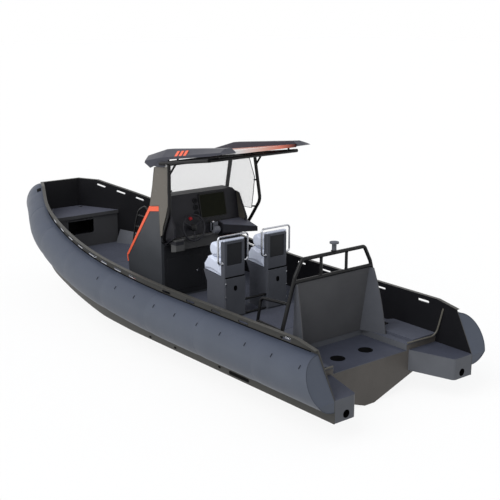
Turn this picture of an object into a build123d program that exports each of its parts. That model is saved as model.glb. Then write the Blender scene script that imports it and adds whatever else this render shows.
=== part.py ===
"""Rigid inflatable boat, open deck, with console, hard top, two seats and a stern roll bar.

Frame: X forward, Y to port, Z up. The origin is on the waterline, at half length, on the centreline.
All lengths are in millimetres. Values whose names end in share or shares have no unit.
"""
from build123d import *
from math import asin, atan2, cos, hypot, pi, sin, tan
import os

os.makedirs("parts", exist_ok=True)

# Whole boat
boat_length = 8900
half_beam = 1245
overrun = 400
face_gap = 0.4
half_share = 0.5

# Side line of the hull in plan: columns are along the boat and half beam
# It runs straight, then in two tangent arcs, then straight on past the bow wall
side_line_shares = (
    (0.0000, 0.960),
    (0.5170, 1.000),
    (0.7865, 0.787),
    (0.8650, 0.598),
)
bow_wall_share = 0.963
bow_end_share = 0.994

# Sheer: level, then an arc up to the bow, then level
sheer_height = 860
sheer_rise = 615
sheer_aft_share = 0.326
sheer_fore_share = 0.9213

# Bottom of the hull: columns are along the boat, chine rise and keel rise
bottom_shares = (
    (0.000, 0.000, 0.000),
    (0.472, 0.000, 0.000),
    (0.560, 0.060, 0.000),
    (0.640, 0.220, 0.030),
    (0.720, 0.370, 0.090),
    (0.787, 0.460, 0.170),
    (0.840, 0.560, 0.300),
    (0.890, 0.680, 0.500),
    (0.930, 0.790, 0.720),
    (0.963, 0.890, 0.910),
    (0.994, 1.000, 1.100),
)
chine_rise = 480
keel_depth = 286
keel_rise = 740
keel_pad_share = 0.07
chine_flat_share = 0.75

# Decks and transom
deck_height = 360
deck_plate = 10
deck_fore_share = 0.8764
fore_deck_height = 500
transom_share = 0.0685
side_deck_rise = 40
side_deck_inner = 760
side_deck_share = 0.1663
side_deck_ramp = 120

# Side plates and bow plate, with a folded cap and a row of grip slots
plate_thickness = 10
cap_width = 55
cap_thickness = 8
plate_lap = 4
tail_lip_drop = 60
slot_height = 34
slot_drop = 76
slot_length = 190
slot_tail_share = 0.0944
slot_rows_shares = (
    (0.4652, 0.0445, 11),
    (0.1826, 0.0624, 4),
)

# Inflatable collar
tube_radius = 305
tube_drop = 415
tube_tuck = 30
tail_top = 280
tail_break_height = 265
tail_slope_top = 751
collar_shares = (0.0, 0.17, 0.33, 0.48, 0.57, 0.66, 0.74, 0.80, 0.86, 0.92, 0.994)

# Stern steps
step_height = 280
step_inner_aft = 870
step_inner_fore = 690
step_corner = 60
step_hole_radius = 50
step_hole_depth = 220
step_hole_height = 76
step_hole_share = 0.45

# Engine well
well_height = 280
well_half_width = 650
well_fore_share = 0.1587
well_sheet = 6
well_hole_radius = 90
well_hole_side = 246
well_hole_share = 0.1066

# Splash shield
shield_sheet = 12
shield_lean = 93
shield_half_top = 648
shield_half_foot = 600
shield_wing = 360
shield_flare = 130
shield_wing_top = 70
shield_wing_middle = 190

# Roll bar
bar_share = 0.1474
bar_radius = 25
bar_bend = 60
bar_top = 1538
bar_half_top = 542
bar_knee = 1330
bar_half_knee = 657
bar_half_foot = 953
crossbar_drop = 65
stanchion_side = 220
stanchion_radius = 20
tow_top = 1680
tow_radius = 30
tow_head_radius = 60
tow_head = 20

# Side hoops
hoop_radius = 20
hoop_bend = 60
hoop_length = 518
hoop_aft_top = 1000
hoop_fore_top = 965
hoop_lower = 670
hoop_half_top = 765
hoop_half_foot = 885

# Bow locker
locker_height = 960
locker_front = 40
locker_recess = 25
locker_lip = 60
locker_corner = 40
locker_hole_half = 330
locker_hole_low = 590
locker_hole_high = 850
locker_depth = 380
locker_clearance = 6

# Console
console_half_width = 720
console_aft_share = 0.4685
console_crest_share = 0.494
console_ridge_share = 0.5034
console_nose_share = 0.5753
console_foot_share = 0.5663
console_ridge = 1680
console_nose = 880
trim_top_width = 75
trim_width = 48
trim_thickness = 12

# Dash
dash_top = 1900
dash_low = 1300
dash_toe = 1180
dash_half_width = 640
dash_aft_share = 0.4551
dash_crest_share = 0.4697
dash_depth = 250
dash_corner = 80
cheek_width = 30
cheek_top = 1820
cheek_low = 1475
cheek_foot = 1340
cheek_top_share = 0.4601
cheek_low_share = 0.4393
table_inner = 220
table_outer = 700
table_foot = 1150
table_low = 1290
table_edge = 1360
table_back = 1450
table_inner_share = 0.4416
table_outer_share = 0.4157
shelf_inner = 500
shelf_top = 1270
shelf_thickness = 50
shelf_reach = 130

# Instruments and controls
screen_width = 450
screen_height = 335
screen_thickness = 12
screen_side = -180
screen_corner = 15
instrument_share = 0.65
gauge_radius = 34
gauge_depth = 12
gauge_side = 128
gauge_step = 97
gauge_count = 3
wheel_radius = 190
wheel_rim = 14
wheel_hub = 32
wheel_side = 270
wheel_standoff = 90
wheel_share = 0.18
spoke_count = 3
spoke_radius = 9
throttle_side = -130
throttle_width = 120
throttle_box = 130
throttle_low = 1310
throttle_reach = 90
throttle_height = 250
throttle_lean = 60
throttle_grip = 14

# Windscreen
glass_thickness = 8
post_radius = 14
post_lift_share = 0.24
screen_top = 2310
screen_half_top = 680
screen_foot_share = 0.5045
screen_head_share = 0.49
side_glass_aft_share = 0.4385
side_glass_knee_share = 0.4242
side_glass_low_share = 0.4343
side_glass_head = 2370
side_glass_knee = 1740
side_glass_low = 1600
side_glass_lap = 70

# Hard top frame
frame_radius = 25
frame_bend = 80
leg_foot_share = 0.4770
leg_foot = 960
leg_shin_share = 0.4444
leg_shin = 1230
leg_shin_side = 790
leg_knee_share = 0.4236
leg_knee = 1740
leg_knee_side = 832
leg_head_share = 0.4338
leg_head = 2444
leg_head_side = 770
leg_head_trim_share = 1.12
leg_end = 60
standoff_radius = 12
standoff_reach_share = 0.4382
standoff_heights_shares = (0.44, 0.0)
foot_pad_radius = 18
brace_radius = 15
brace_low_share = 0.78
brace_reach = 190
brace_top = 2470
rail_aft_share = 0.327
rail_fore_share = 0.4607
roof_slope_share = 0.154
roof_gap = 30
roof_post_radius = 15
roof_post_side = 620

# Hard top: columns are inner along, inner height, outer along and outer height
roof_thickness = 45
roof_half_width = 540
roof_aft_share = 0.2975
roof_fore_share = 0.5112
fairing_thickness = 137
fairing_crown = 650
fairing_edge = 760
fairing_shares = (
    (0.2927, 0.15, 0.2921, 0.12),
    (0.3034, 0.64, 0.2989, 0.30),
    (0.4562, 1.00, 0.4551, 0.22),
    (0.5135, 0.49, 0.5056, 0.00),
    (0.5169, 0.07, 0.5079, -0.20),
    (0.4921, -0.54, 0.4921, -0.80),
    (0.4640, 0.00, 0.4640, -0.05),
    (0.3292, 0.00, 0.3292, 0.00),
)

# Seats
seat_inner = 200
seat_width = 365
seat_aft_share = 0.3225
seat_back_height = 1450
seat_back_thickness = 73
seat_pan_aft = 955
seat_pan_fore = 990
seat_pan_reach = 478
seat_knuckle = 830
seat_foot_reach = 400
seat_edge = 22
pad_fore = 90
pad_shoulder = 98
pad_shoulder_height = 205
pad_crown = 170
pad_height = 245
bolster_radius = 104
bolster_reach = 155
bolster_gap = 2
cap_height = 36
recess_width = 262
recess_low = 1116
recess_high = 1425
recess_depth = 14
seat_rail_low = 1150
seat_rail_top = 1535
seat_rail_bend = 45
seat_rail_radius = 13
seat_rail_reach = 75
seat_door_low = 385
seat_door_high = 935
seat_door_margin = 10
seat_door_thickness = 14
latch_radius = 18
latch_height = 788
seat_locker_depth = 260
seat_locker_margin = 35

# Grab rails
foot_rail_radius = 16
foot_rail_height = 583
foot_rail_low = 377
foot_rail_share = 0.3259
handrail_radius = 14
handrail_standoff = 60
handrail_side = 640
handrail_low_share = 0.12
handrail_high_share = 0.94
handrail_posts_shares = (0.4, 0.67)


def along(share):
    """Distance forward of half length for a share of the boat's length."""
    return boat_length * (share - half_share)


def side_at(x):
    """Half width and heading of the side line at a distance forward of half length."""
    start, middle, shoulder, cheek = side_points
    heading = atan2(middle[1] - start[1], middle[0] - start[0])
    if x <= middle[0]:
        return start[1] + (x - start[0]) * tan(heading), heading
    for near, far in ((middle, shoulder), (shoulder, cheek)):
        turn = 2 * (atan2(far[1] - near[1], far[0] - near[0]) - heading)
        radius = hypot(far[0] - near[0], far[1] - near[1]) / (2 * sin(turn / 2))
        if x <= far[0]:
            here = asin(sin(heading) + (x - near[0]) / radius)
            return near[1] + radius * (cos(heading) - cos(here)), here
        heading += turn
    return cheek[1] + (x - cheek[0]) * tan(heading), heading


def lip_at(x):
    """Height and slope of the sheer at a distance forward of half length."""
    if x <= sheer_aft:
        return sheer_height, 0
    if x >= sheer_fore:
        return sheer_height + sheer_rise, 0
    run = sheer_fore - sheer_aft
    radius = (run**2 + sheer_rise**2) / (2 * sheer_rise)
    slope = asin((x - sheer_aft) / radius)
    return sheer_height + radius * (1 - cos(slope)), slope


def across(x):
    """Plane square to the side line, with its X outboard and its Y up."""
    y, heading = side_at(x)
    return Plane(
        origin=(x, y, 0),
        x_dir=(-sin(heading), cos(heading), 0),
        z_dir=(cos(heading), sin(heading), 0),
    )


def mitre_plane(side, gap=0):
    """Upright plane through a bow corner, halfway between the side and the bow wall."""
    turn = (pi / 2 + side_at(bow_x)[1]) / 2
    return Plane(
        origin=(bow_x - gap * sin(turn), side * (bow_half + gap * cos(turn)), 0),
        x_dir=(cos(turn), side * sin(turn), 0),
        z_dir=(-sin(turn), side * cos(turn), 0),
    )


def tube(points, radius, bend=0):
    """Round bar along straight runs joined by arcs, added to the part being built."""
    with BuildLine() as path:
        if bend:
            FilletPolyline(*points, radius=bend)
        else:
            Polyline(*points)
    with BuildSketch(Plane(origin=path.line @ 0, z_dir=path.line % 0)) as profile:
        Circle(radius)
    sweep(sections=profile.sketch, path=path.line)


def save(builder, name):
    """Label a finished piece and write its file."""
    builder.part.label = name
    export_step(builder.part, f"parts/{name}.step")


def side_name(stem, side):
    return stem + ("_port" if side > 0 else "_starboard")


def offset_point(plane, x, y, z=0):
    """Point of the row frame for local coordinates on a plane."""
    return tuple(plane.from_local_coords((x, y, z)))


def between(low, high, share):
    """Point at a share of the way from one point to another."""
    return tuple(a + (b - a) * share for a, b in zip(low, high))


side_points = [(along(place), half_beam * width) for place, width in side_line_shares]
stern_x = along(0)
bow_x = along(bow_wall_share)
bow_end = along(bow_end_share)
bow_half = side_at(bow_x)[0]
sheer_aft = along(sheer_aft_share)
sheer_fore = along(sheer_fore_share)
bow_lip = sheer_height + sheer_rise
transom_x = along(transom_share)
lip_tail_height = sheer_height - tail_lip_drop
step_outer = side_at(stern_x)[0]
bar_x = along(bar_share)
well_fore = along(well_fore_share)
deck_fore = along(deck_fore_share)
deck_base = deck_height - deck_plate
console_aft = along(console_aft_share)
console_crest = along(console_crest_share)
console_ridge_x = along(console_ridge_share)
console_nose_x = along(console_nose_share)
console_foot_x = along(console_foot_share)
dash_aft = along(dash_aft_share)
dash_crest = along(dash_crest_share)
dash_rise = dash_top - dash_low
dash_slant = hypot(dash_crest - dash_aft, dash_rise)
dash_lean = (dash_crest - dash_aft) / dash_rise
dash_face = Plane(
    origin=(dash_aft, 0, dash_low),
    x_dir=(0, -1, 0),
    z_dir=(-dash_rise / dash_slant, 0, (dash_crest - dash_aft) / dash_slant),
)
wheel_plane = Plane(
    origin=offset_point(dash_face, -wheel_side, dash_slant * wheel_share, wheel_standoff),
    x_dir=dash_face.x_dir,
    z_dir=dash_face.z_dir,
)
roof_slope = atan2(roof_slope_share, 1)
leg_head_x = along(leg_head_share)
roof_plane = Plane(
    origin=(leg_head_x, 0, leg_head + frame_radius + roof_gap),
    x_dir=(cos(roof_slope), 0, -sin(roof_slope)),
    z_dir=(sin(roof_slope), 0, cos(roof_slope)),
)
rail_plane = roof_plane.offset(-frame_radius - roof_gap)

# Side line in plan, inside of the hull wall
with BuildLine() as side_line:
    aft_run = Line(side_points[0], side_points[1])
    middle_run = TangentArc(side_points[1], side_points[2], tangent=aft_run % 1)
    TangentArc(side_points[2], side_points[3], tangent=middle_run % 1)
    Line(side_points[3], (bow_end, side_at(bow_end)[0]))

# Area inside both side lines
with BuildSketch() as inside:
    with BuildLine():
        add(side_line.line)
        Polyline((bow_end, side_at(bow_end)[0]), (bow_end, 0), (stern_x, 0), side_points[0])
    make_face()
    mirror(about=Plane.XZ)

# Side view of the wall, from the chine up to the lip, with the slanted tail
with BuildSketch(Plane.XZ) as wall_view:
    with BuildLine():
        lower_edge = [(along(place), chine_rise * chine - plate_lap) for place, chine, keel in bottom_shares]
        Polyline(*lower_edge, (bow_end, bow_lip), (sheer_fore, bow_lip))
        TangentArc((sheer_aft, sheer_height), (sheer_fore, bow_lip), tangent=(1, 0))
        Polyline(
            (sheer_aft, sheer_height),
            (transom_x, sheer_height),
            (stern_x + tail_top, lip_tail_height),
            (stern_x, tail_break_height),
            lower_edge[0],
        )
    make_face()

# Side plate: one side of the hull, up to a folded cap, with grip slots under the cap
with BuildPart() as cap_strip:
    with BuildSketch():
        with BuildLine():
            add(side_line.line)
            offset(amount=cap_width, side=Side.LEFT)
        make_face()
    extrude(amount=bow_lip + overrun)
    with BuildSketch(Plane.XZ):
        add(wall_view.sketch_local)
    extrude(amount=-2 * half_beam, mode=Mode.INTERSECT)
    with BuildSketch(Plane.XZ):
        with Locations((0, -cap_thickness)):
            add(wall_view.sketch_local)
        with Locations((stern_x + tail_top - overrun / 2, sheer_height)):
            Rectangle(overrun, 2 * sheer_height)
    extrude(amount=-2 * half_beam, mode=Mode.SUBTRACT)

with BuildPart() as side_plate:
    with BuildSketch(Plane.XY.offset(-overrun)):
        with BuildLine():
            add(side_line.line)
            offset(amount=plate_thickness, side=Side.LEFT)
        make_face()
    extrude(amount=bow_lip + 2 * overrun)
    with BuildSketch(Plane.XZ):
        add(wall_view.sketch_local)
    extrude(amount=-2 * half_beam, mode=Mode.INTERSECT)
    add(cap_strip.part)
    slot_places = [along(slot_tail_share)]
    for start_share, pitch_share, count in slot_rows_shares:
        slot_places += [along(start_share + pitch_share * index) for index in range(count)]
    for x in slot_places:
        lip, slope = lip_at(x)
        slot_plane = Plane(
            origin=(x, 0, lip - slot_drop),
            x_dir=(cos(slope), 0, sin(slope)),
            z_dir=(0, 1, 0),
        )
        with BuildSketch(slot_plane):
            SlotOverall(slot_length, slot_height)
        extrude(amount=2 * half_beam, mode=Mode.SUBTRACT)
    split(bisect_by=mitre_plane(1, face_gap), keep=Keep.TOP)

# Bow plate: closes the sides across the blunt bow
with BuildPart() as bow_plate:
    with BuildSketch(Plane.XZ.offset(-half_beam)):
        with BuildLine():
            bow_foot = chine_rise * bottom_shares[-2][1] - plate_lap
            Polyline(
                (bow_x, bow_foot),
                (bow_x + plate_thickness, bow_foot),
                (bow_x + plate_thickness, bow_lip - cap_thickness),
                (bow_x + cap_width, bow_lip - cap_thickness),
                (bow_x + cap_width, bow_lip),
                (bow_x, bow_lip),
                close=True,
            )
        make_face()
    extrude(amount=2 * half_beam)
    split(bisect_by=mitre_plane(1), keep=Keep.BOTTOM)
    split(bisect_by=mitre_plane(-1), keep=Keep.BOTTOM)
save(bow_plate, "bow_plate")

# Hull: solid bottom and floor, with a raised block at the bow
with BuildPart() as hull:
    for place, chine, keel in bottom_shares:
        half = side_at(along(place))[0]
        bottom = keel_rise * keel - keel_depth
        edge = chine_rise * chine
        with BuildSketch(Plane(origin=(along(place), 0, 0), x_dir=(0, 1, 0), z_dir=(1, 0, 0))):
            with BuildLine():
                Polyline(
                    (0, bottom),
                    (half * keel_pad_share, bottom),
                    (half * chine_flat_share, edge),
                    (half + plate_thickness, edge),
                    (half + plate_thickness, fore_deck_height + overrun),
                    (0, fore_deck_height + overrun),
                    close=True,
                )
            make_face()
    loft(ruled=True)
    mirror(about=Plane.XZ)
    with BuildSketch(Plane.XY.offset(-keel_depth)):
        add(inside.sketch)
    extrude(amount=keel_depth + fore_deck_height, mode=Mode.INTERSECT)
    with BuildSketch(Plane.XZ):
        with BuildLine():
            Polyline(
                (stern_x - overrun, -keel_depth - overrun),
                (transom_x, -keel_depth - overrun),
                (transom_x, deck_base),
                (deck_fore, deck_base),
                (deck_fore, fore_deck_height + overrun),
                (stern_x - overrun, fore_deck_height + overrun),
                close=True,
            )
        make_face()
        with Locations((bow_x + overrun, 0)):
            Rectangle(2 * overrun, 2 * boat_length)
    extrude(amount=2 * half_beam, both=True, mode=Mode.SUBTRACT)
    with BuildSketch(Plane.XY.offset(well_height - well_sheet)):
        with Locations(((transom_x - overrun + well_fore) / 2, 0)):
            Rectangle(well_fore - transom_x + overrun, 2 * well_half_width)
    extrude(amount=overrun, mode=Mode.SUBTRACT)
save(hull, "hull")

# Deck plate, with the well cut out
with BuildPart() as deck:
    with BuildSketch(Plane.XY.offset(deck_base)):
        add(inside.sketch)
        with Locations(((transom_x + deck_fore) / 2, 0)):
            Rectangle(deck_fore - transom_x, 4 * half_beam, mode=Mode.INTERSECT)
        with Locations(((transom_x - overrun + well_fore) / 2, 0)):
            Rectangle(well_fore - transom_x + overrun, 2 * well_half_width, mode=Mode.SUBTRACT)
    extrude(amount=deck_plate)
save(deck, "deck")

# Side deck: raised plate beside the well, with a ramp at its front
with BuildPart() as side_deck:
    side_deck_fore = along(side_deck_share)
    with BuildSketch(Plane.XY.offset(deck_height)):
        add(inside.sketch)
        with Locations(((transom_x + side_deck_fore) / 2, side_deck_inner + half_beam)):
            Rectangle(side_deck_fore - transom_x, 2 * half_beam, mode=Mode.INTERSECT)
    extrude(amount=side_deck_rise)
    fore_face = side_deck.faces().sort_by(Axis.X)[-1]
    ramp_edge = fore_face.edges().sort_by(Axis.Z)[-1]
    chamfer(ramp_edge, length=side_deck_rise - face_gap, length2=side_deck_ramp, reference=fore_face)

# Collar: D-section air tube against the side plates, mitred at the bow
with BuildPart() as collar:
    for place in collar_shares:
        middle = lip_at(along(place))[0] - tube_drop
        with BuildSketch(across(along(place))):
            with BuildLine():
                Polyline(
                    (plate_thickness, middle + tube_radius),
                    (plate_thickness - tube_tuck, middle + tube_radius),
                    (plate_thickness - tube_tuck, middle - tube_radius),
                    (plate_thickness, middle - tube_radius),
                )
                ThreePointArc(
                    (plate_thickness, middle + tube_radius),
                    (plate_thickness + tube_radius, middle),
                    (plate_thickness, middle - tube_radius),
                )
            make_face()
    loft()
    with BuildSketch():
        add(inside.sketch)
    extrude(amount=bow_lip, mode=Mode.SUBTRACT)
    with BuildSketch():
        with BuildLine():
            add(side_line.line)
            offset(amount=plate_thickness, side=Side.LEFT)
        make_face()
    extrude(amount=bow_lip, mode=Mode.SUBTRACT)
    with BuildSketch(Plane.XZ):
        with BuildLine():
            Polyline(
                (stern_x - overrun, tail_break_height),
                (stern_x, tail_break_height),
                (stern_x + tail_top, tail_slope_top),
                (stern_x + tail_top, tail_slope_top + overrun),
                (stern_x - overrun, tail_slope_top + overrun),
                close=True,
            )
        make_face()
    extrude(amount=-2 * half_beam, mode=Mode.SUBTRACT)
    split(bisect_by=mitre_plane(1, face_gap), keep=Keep.TOP)

# Bow collar: the same tube straight across the bow plate
with BuildPart() as collar_bow:
    bow_flat = bow_x + plate_thickness
    bow_middle = bow_lip - tube_drop
    with BuildSketch(Plane.XZ.offset(-2 * half_beam)):
        with BuildLine():
            Line((bow_flat, bow_middle - tube_radius), (bow_flat, bow_middle + tube_radius))
            ThreePointArc(
                (bow_flat, bow_middle + tube_radius),
                (bow_flat + tube_radius, bow_middle),
                (bow_flat, bow_middle - tube_radius),
            )
        make_face()
    extrude(amount=4 * half_beam)
    split(bisect_by=mitre_plane(1), keep=Keep.BOTTOM)
    split(bisect_by=mitre_plane(-1), keep=Keep.BOTTOM)
save(collar_bow, "collar_bow")

# Stern step: buoyant tail of the hull on each side of the engines
with BuildPart() as stern_step:
    with BuildSketch():
        with BuildLine():
            Polyline(
                (stern_x, step_outer),
                (stern_x, step_inner_aft),
                (transom_x - face_gap, step_inner_fore),
                (transom_x - face_gap, side_at(transom_x - face_gap)[0]),
                close=True,
            )
        make_face()
    extrude(amount=step_height)
    corner = stern_step.edges().filter_by(Axis.Z).group_by(Axis.X)[0].sort_by(Axis.Y)[0]
    fillet(corner, radius=step_corner)
    step_hole_side = step_inner_aft + (step_outer - step_inner_aft) * step_hole_share
    with BuildSketch(Plane(origin=(stern_x, step_hole_side, step_hole_height), z_dir=(1, 0, 0))):
        Circle(step_hole_radius)
    extrude(amount=step_hole_depth, mode=Mode.SUBTRACT)

# Engine well: sheet floor between the steps, with two hose holes and a low coaming
with BuildPart() as engine_well:
    well_length = well_fore - transom_x
    with BuildSketch(Plane.XY.offset(well_height - well_sheet)):
        with Locations(((transom_x + well_fore) / 2, 0)):
            Rectangle(well_length, 2 * well_half_width)
    extrude(amount=deck_height - well_height + well_sheet)
    with BuildSketch(Plane.XY.offset(well_height)):
        with Locations(((transom_x - overrun + well_fore - well_sheet) / 2, 0)):
            Rectangle(well_length + overrun - well_sheet, 2 * (well_half_width - well_sheet))
    extrude(amount=overrun, mode=Mode.SUBTRACT)
    with BuildSketch(Plane.XY.offset(well_height)):
        with Locations((along(well_hole_share), well_hole_side), (along(well_hole_share), -well_hole_side)):
            Circle(well_hole_radius)
    extrude(amount=-2 * well_sheet, mode=Mode.SUBTRACT)
save(engine_well, "engine_well")

# Splash shield: leaning sheet under the crossbar, with side wings that flare aft to a concave edge
with BuildPart() as splash_shield:
    shield_foot = deck_height + face_gap
    shield_top = bar_knee - crossbar_drop - bar_radius - face_gap
    shield_x = bar_x + shield_sheet / 2
    for height, x, half in (
        (shield_foot, shield_x + shield_lean, shield_half_foot),
        (shield_top, shield_x, shield_half_top),
    ):
        with BuildSketch(Plane.XY.offset(height)):
            with BuildLine():
                Polyline(
                    (x - shield_wing, half + shield_flare),
                    (x, half),
                    (x, -half),
                    (x - shield_wing, -half - shield_flare),
                )
                offset(amount=shield_sheet, side=Side.RIGHT)
            make_face()
    loft(ruled=True)
    wing_floor = shield_x + shield_lean - shield_wing
    with BuildSketch(Plane.XZ.offset(-2 * half_beam)):
        with BuildLine():
            Polyline(
                (wing_floor, shield_foot),
                (wing_floor - overrun, shield_foot),
                (wing_floor - overrun, shield_top),
                (shield_x - shield_wing_top, shield_top),
            )
            ThreePointArc(
                (shield_x - shield_wing_top, shield_top),
                (shield_x - shield_wing_middle, (shield_foot + shield_top) / 2),
                (wing_floor, shield_foot),
            )
        make_face()
    extrude(amount=4 * half_beam, mode=Mode.SUBTRACT)
save(splash_shield, "splash_shield")

# Roll bar: bent tube over the shield, with a crossbar and two stanchions
bar_foot_height = deck_height + side_deck_rise
bar_knees = {side: (bar_x, side * bar_half_knee, bar_knee) for side in (1, -1)}
bar_feet = {side: (bar_x, side * bar_half_foot, deck_height) for side in (1, -1)}
crossbar = bar_knee - crossbar_drop
with BuildPart() as roll_bar:
    tube(
        [
            bar_feet[1],
            bar_knees[1],
            (bar_x, bar_half_top, bar_top),
            (bar_x, -bar_half_top, bar_top),
            bar_knees[-1],
            bar_feet[-1],
        ],
        bar_radius,
        bar_bend,
    )
    split(bisect_by=Plane.XY.offset(bar_foot_height), keep=Keep.TOP)
    crossbar_share = crossbar_drop / (bar_knee - deck_height)
    tube([between(bar_knees[side], bar_feet[side], crossbar_share) for side in (1, -1)], bar_radius)
    for y in (stanchion_side, -stanchion_side):
        tube([(bar_x, y, crossbar), (bar_x, y, bar_top)], stanchion_radius)
save(roll_bar, "roll_bar")

# Tow post on top of the roll bar
with BuildPart() as tow_post:
    with BuildSketch(Plane.XY.offset(bar_top + bar_radius)):
        with Locations((bar_x, 0)):
            Circle(tow_radius)
    extrude(amount=tow_top - bar_top - bar_radius)
    with BuildSketch(Plane.XY.offset(tow_top - tow_head)):
        with Locations((bar_x, 0)):
            Circle(tow_head_radius)
    extrude(amount=tow_head)
save(tow_post, "tow_post")

# Side hoop: grab frame from the roll bar's leg forward to a post on the deck
with BuildPart() as side_hoop:
    hoop_fore = bar_x + hoop_length
    leg_points = [
        between(bar_knees[1], bar_feet[1], (bar_knee - height) / (bar_knee - deck_height))
        for height in (hoop_aft_top, hoop_lower)
    ]
    hoop_corner = (hoop_fore, hoop_half_top, hoop_fore_top)
    hoop_foot = (hoop_fore, hoop_half_foot, deck_base)
    tube([leg_points[0], hoop_corner, hoop_foot], hoop_radius, hoop_bend)
    lower_share = (hoop_fore_top - hoop_lower) / (hoop_fore_top - deck_base)
    tube([leg_points[1], between(hoop_corner, hoop_foot, lower_share)], hoop_radius)
    split(bisect_by=Plane.XY.offset(deck_height), keep=Keep.TOP)
    add(roll_bar.part, mode=Mode.SUBTRACT)

# Bow locker: seat box across the bow, open at the front, and its overhanging lid
locker_face = deck_fore - locker_front
locker_top = locker_height - locker_lip
for name, x, low, high in (
    ("bow_locker", locker_face + locker_recess, deck_height, locker_top - face_gap),
    ("bow_seat", locker_face, locker_top, locker_height),
):
    with BuildPart() as bow_box:
        aft_half = side_at(x)[0] - locker_clearance
        fore_half = bow_half - locker_clearance
        with BuildSketch(Plane.XY.offset(low)):
            with BuildLine():
                Polyline((x, aft_half), (bow_x, fore_half), (bow_x, -fore_half), (x, -aft_half), close=True)
            make_face()
        extrude(amount=high - low)
        with BuildSketch(Plane.XZ.offset(-half_beam)):
            with Locations((deck_fore + boat_length / 2, fore_deck_height - boat_length / 2)):
                Rectangle(boat_length, boat_length)
        extrude(amount=2 * half_beam, mode=Mode.SUBTRACT)
        with BuildSketch(Plane.YZ.offset(x)):
            with Locations((0, (locker_hole_low + locker_hole_high) / 2)):
                RectangleRounded(2 * locker_hole_half, locker_hole_high - locker_hole_low, locker_corner)
        extrude(amount=locker_depth, mode=Mode.SUBTRACT)
    save(bow_box, name)

# Console: body with a sloping nose
with BuildPart() as console_body:
    with BuildSketch(Plane.XZ.offset(-console_half_width)):
        with BuildLine():
            Polyline(
                (console_aft, deck_height),
                (console_aft, dash_low),
                (console_crest, console_ridge),
                (console_ridge_x, console_ridge),
                (console_nose_x, console_nose),
                (console_foot_x, deck_height),
                close=True,
            )
        make_face()
    extrude(amount=2 * console_half_width)
save(console_body, "console_body")

# Side view of a dash cheek
dash_fore = dash_crest + dash_depth
dash_outer = dash_half_width + cheek_width
with BuildSketch(Plane.XZ) as cheek_view:
    with BuildLine():
        Polyline(
            (console_aft, dash_toe),
            (along(cheek_low_share), cheek_foot),
            (along(cheek_low_share), cheek_low),
            (along(cheek_top_share), cheek_top),
            (dash_crest, dash_top),
            (dash_fore, dash_top),
            (dash_fore, console_ridge),
            (console_crest, console_ridge),
            (console_aft, dash_low),
            close=True,
        )
    make_face()

# Dash: instrument wedge between two cheeks, with a chart table to starboard and a shelf to port
with BuildPart() as dash:
    with BuildSketch(Plane.XZ.offset(-dash_half_width)):
        with BuildLine():
            Polyline(
                (console_aft, dash_toe),
                (dash_aft, dash_low),
                (dash_crest, dash_top),
                (dash_fore, dash_top),
                (dash_fore, console_ridge),
                (console_crest, console_ridge),
                (console_aft, dash_low),
                close=True,
            )
        make_face()
    extrude(amount=2 * dash_half_width)
    for port_face in (dash_outer, -dash_half_width):
        with BuildSketch(Plane.XZ.offset(-port_face)):
            add(cheek_view.sketch_local)
        extrude(amount=cheek_width)
    with BuildSketch(Plane.YZ.offset(dash_aft)):
        with Locations((dash_outer, dash_top), (-dash_outer, dash_top)):
            RegularPolygon(radius=dash_corner, side_count=4)
    extrude(amount=dash_fore - dash_aft, mode=Mode.SUBTRACT)
    with BuildSketch(Plane.XZ.offset(table_inner)):
        with BuildLine():
            Polyline(
                (console_aft, table_foot),
                (along(table_inner_share), table_low),
                (along(table_outer_share), table_low),
                (along(table_outer_share), table_edge),
                (dash_aft, table_back),
                (console_aft, table_back),
                close=True,
            )
        make_face()
    extrude(amount=table_outer - table_inner)
    with BuildSketch(Plane.XY.offset(table_foot)):
        with BuildLine():
            Polyline(
                (along(table_inner_share), -table_inner),
                (along(table_outer_share), -table_outer),
                (along(table_outer_share) - overrun, -table_outer),
                (along(table_outer_share) - overrun, -table_inner),
                close=True,
            )
        make_face()
    extrude(amount=table_back - table_foot, mode=Mode.SUBTRACT)
    with BuildSketch(Plane.XY.offset(shelf_top - shelf_thickness)):
        with Locations(((dash_aft - shelf_reach + console_aft) / 2, (shelf_inner + dash_half_width) / 2)):
            Rectangle(console_aft - dash_aft + shelf_reach, dash_half_width - shelf_inner)
    extrude(amount=shelf_thickness)
save(dash, "dash")

# Instruments on the dash's slanted face
with BuildPart() as screen:
    with BuildSketch(dash_face):
        with Locations((-screen_side, dash_slant * instrument_share)):
            RectangleRounded(screen_width, screen_height, screen_corner)
    extrude(amount=screen_thickness)
save(screen, "screen")

with BuildPart() as gauges:
    with BuildSketch(dash_face):
        with Locations((-gauge_side, dash_slant * instrument_share)):
            with GridLocations(0, gauge_step, 1, gauge_count):
                Circle(gauge_radius)
    extrude(amount=gauge_depth)
save(gauges, "gauges")

# Steering wheel: rim, three spokes and hub on a short shaft square to the dash
with BuildPart() as steering_wheel:
    with BuildSketch(wheel_plane):
        Circle(wheel_hub)
    extrude(amount=-wheel_standoff + face_gap)
    with BuildSketch(Plane(origin=offset_point(wheel_plane, wheel_radius, 0), z_dir=wheel_plane.y_dir)):
        Circle(wheel_rim)
    revolve(axis=Axis(wheel_plane.origin, wheel_plane.z_dir))
    for spoke in range(spoke_count):
        turn = 2 * pi * spoke / spoke_count - pi / 2
        reach = wheel_plane.x_dir * cos(turn) + wheel_plane.y_dir * sin(turn)
        with BuildSketch(Plane(origin=wheel_plane.origin, z_dir=reach)):
            Circle(spoke_radius)
        extrude(amount=wheel_radius)
save(steering_wheel, "steering_wheel")

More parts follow.
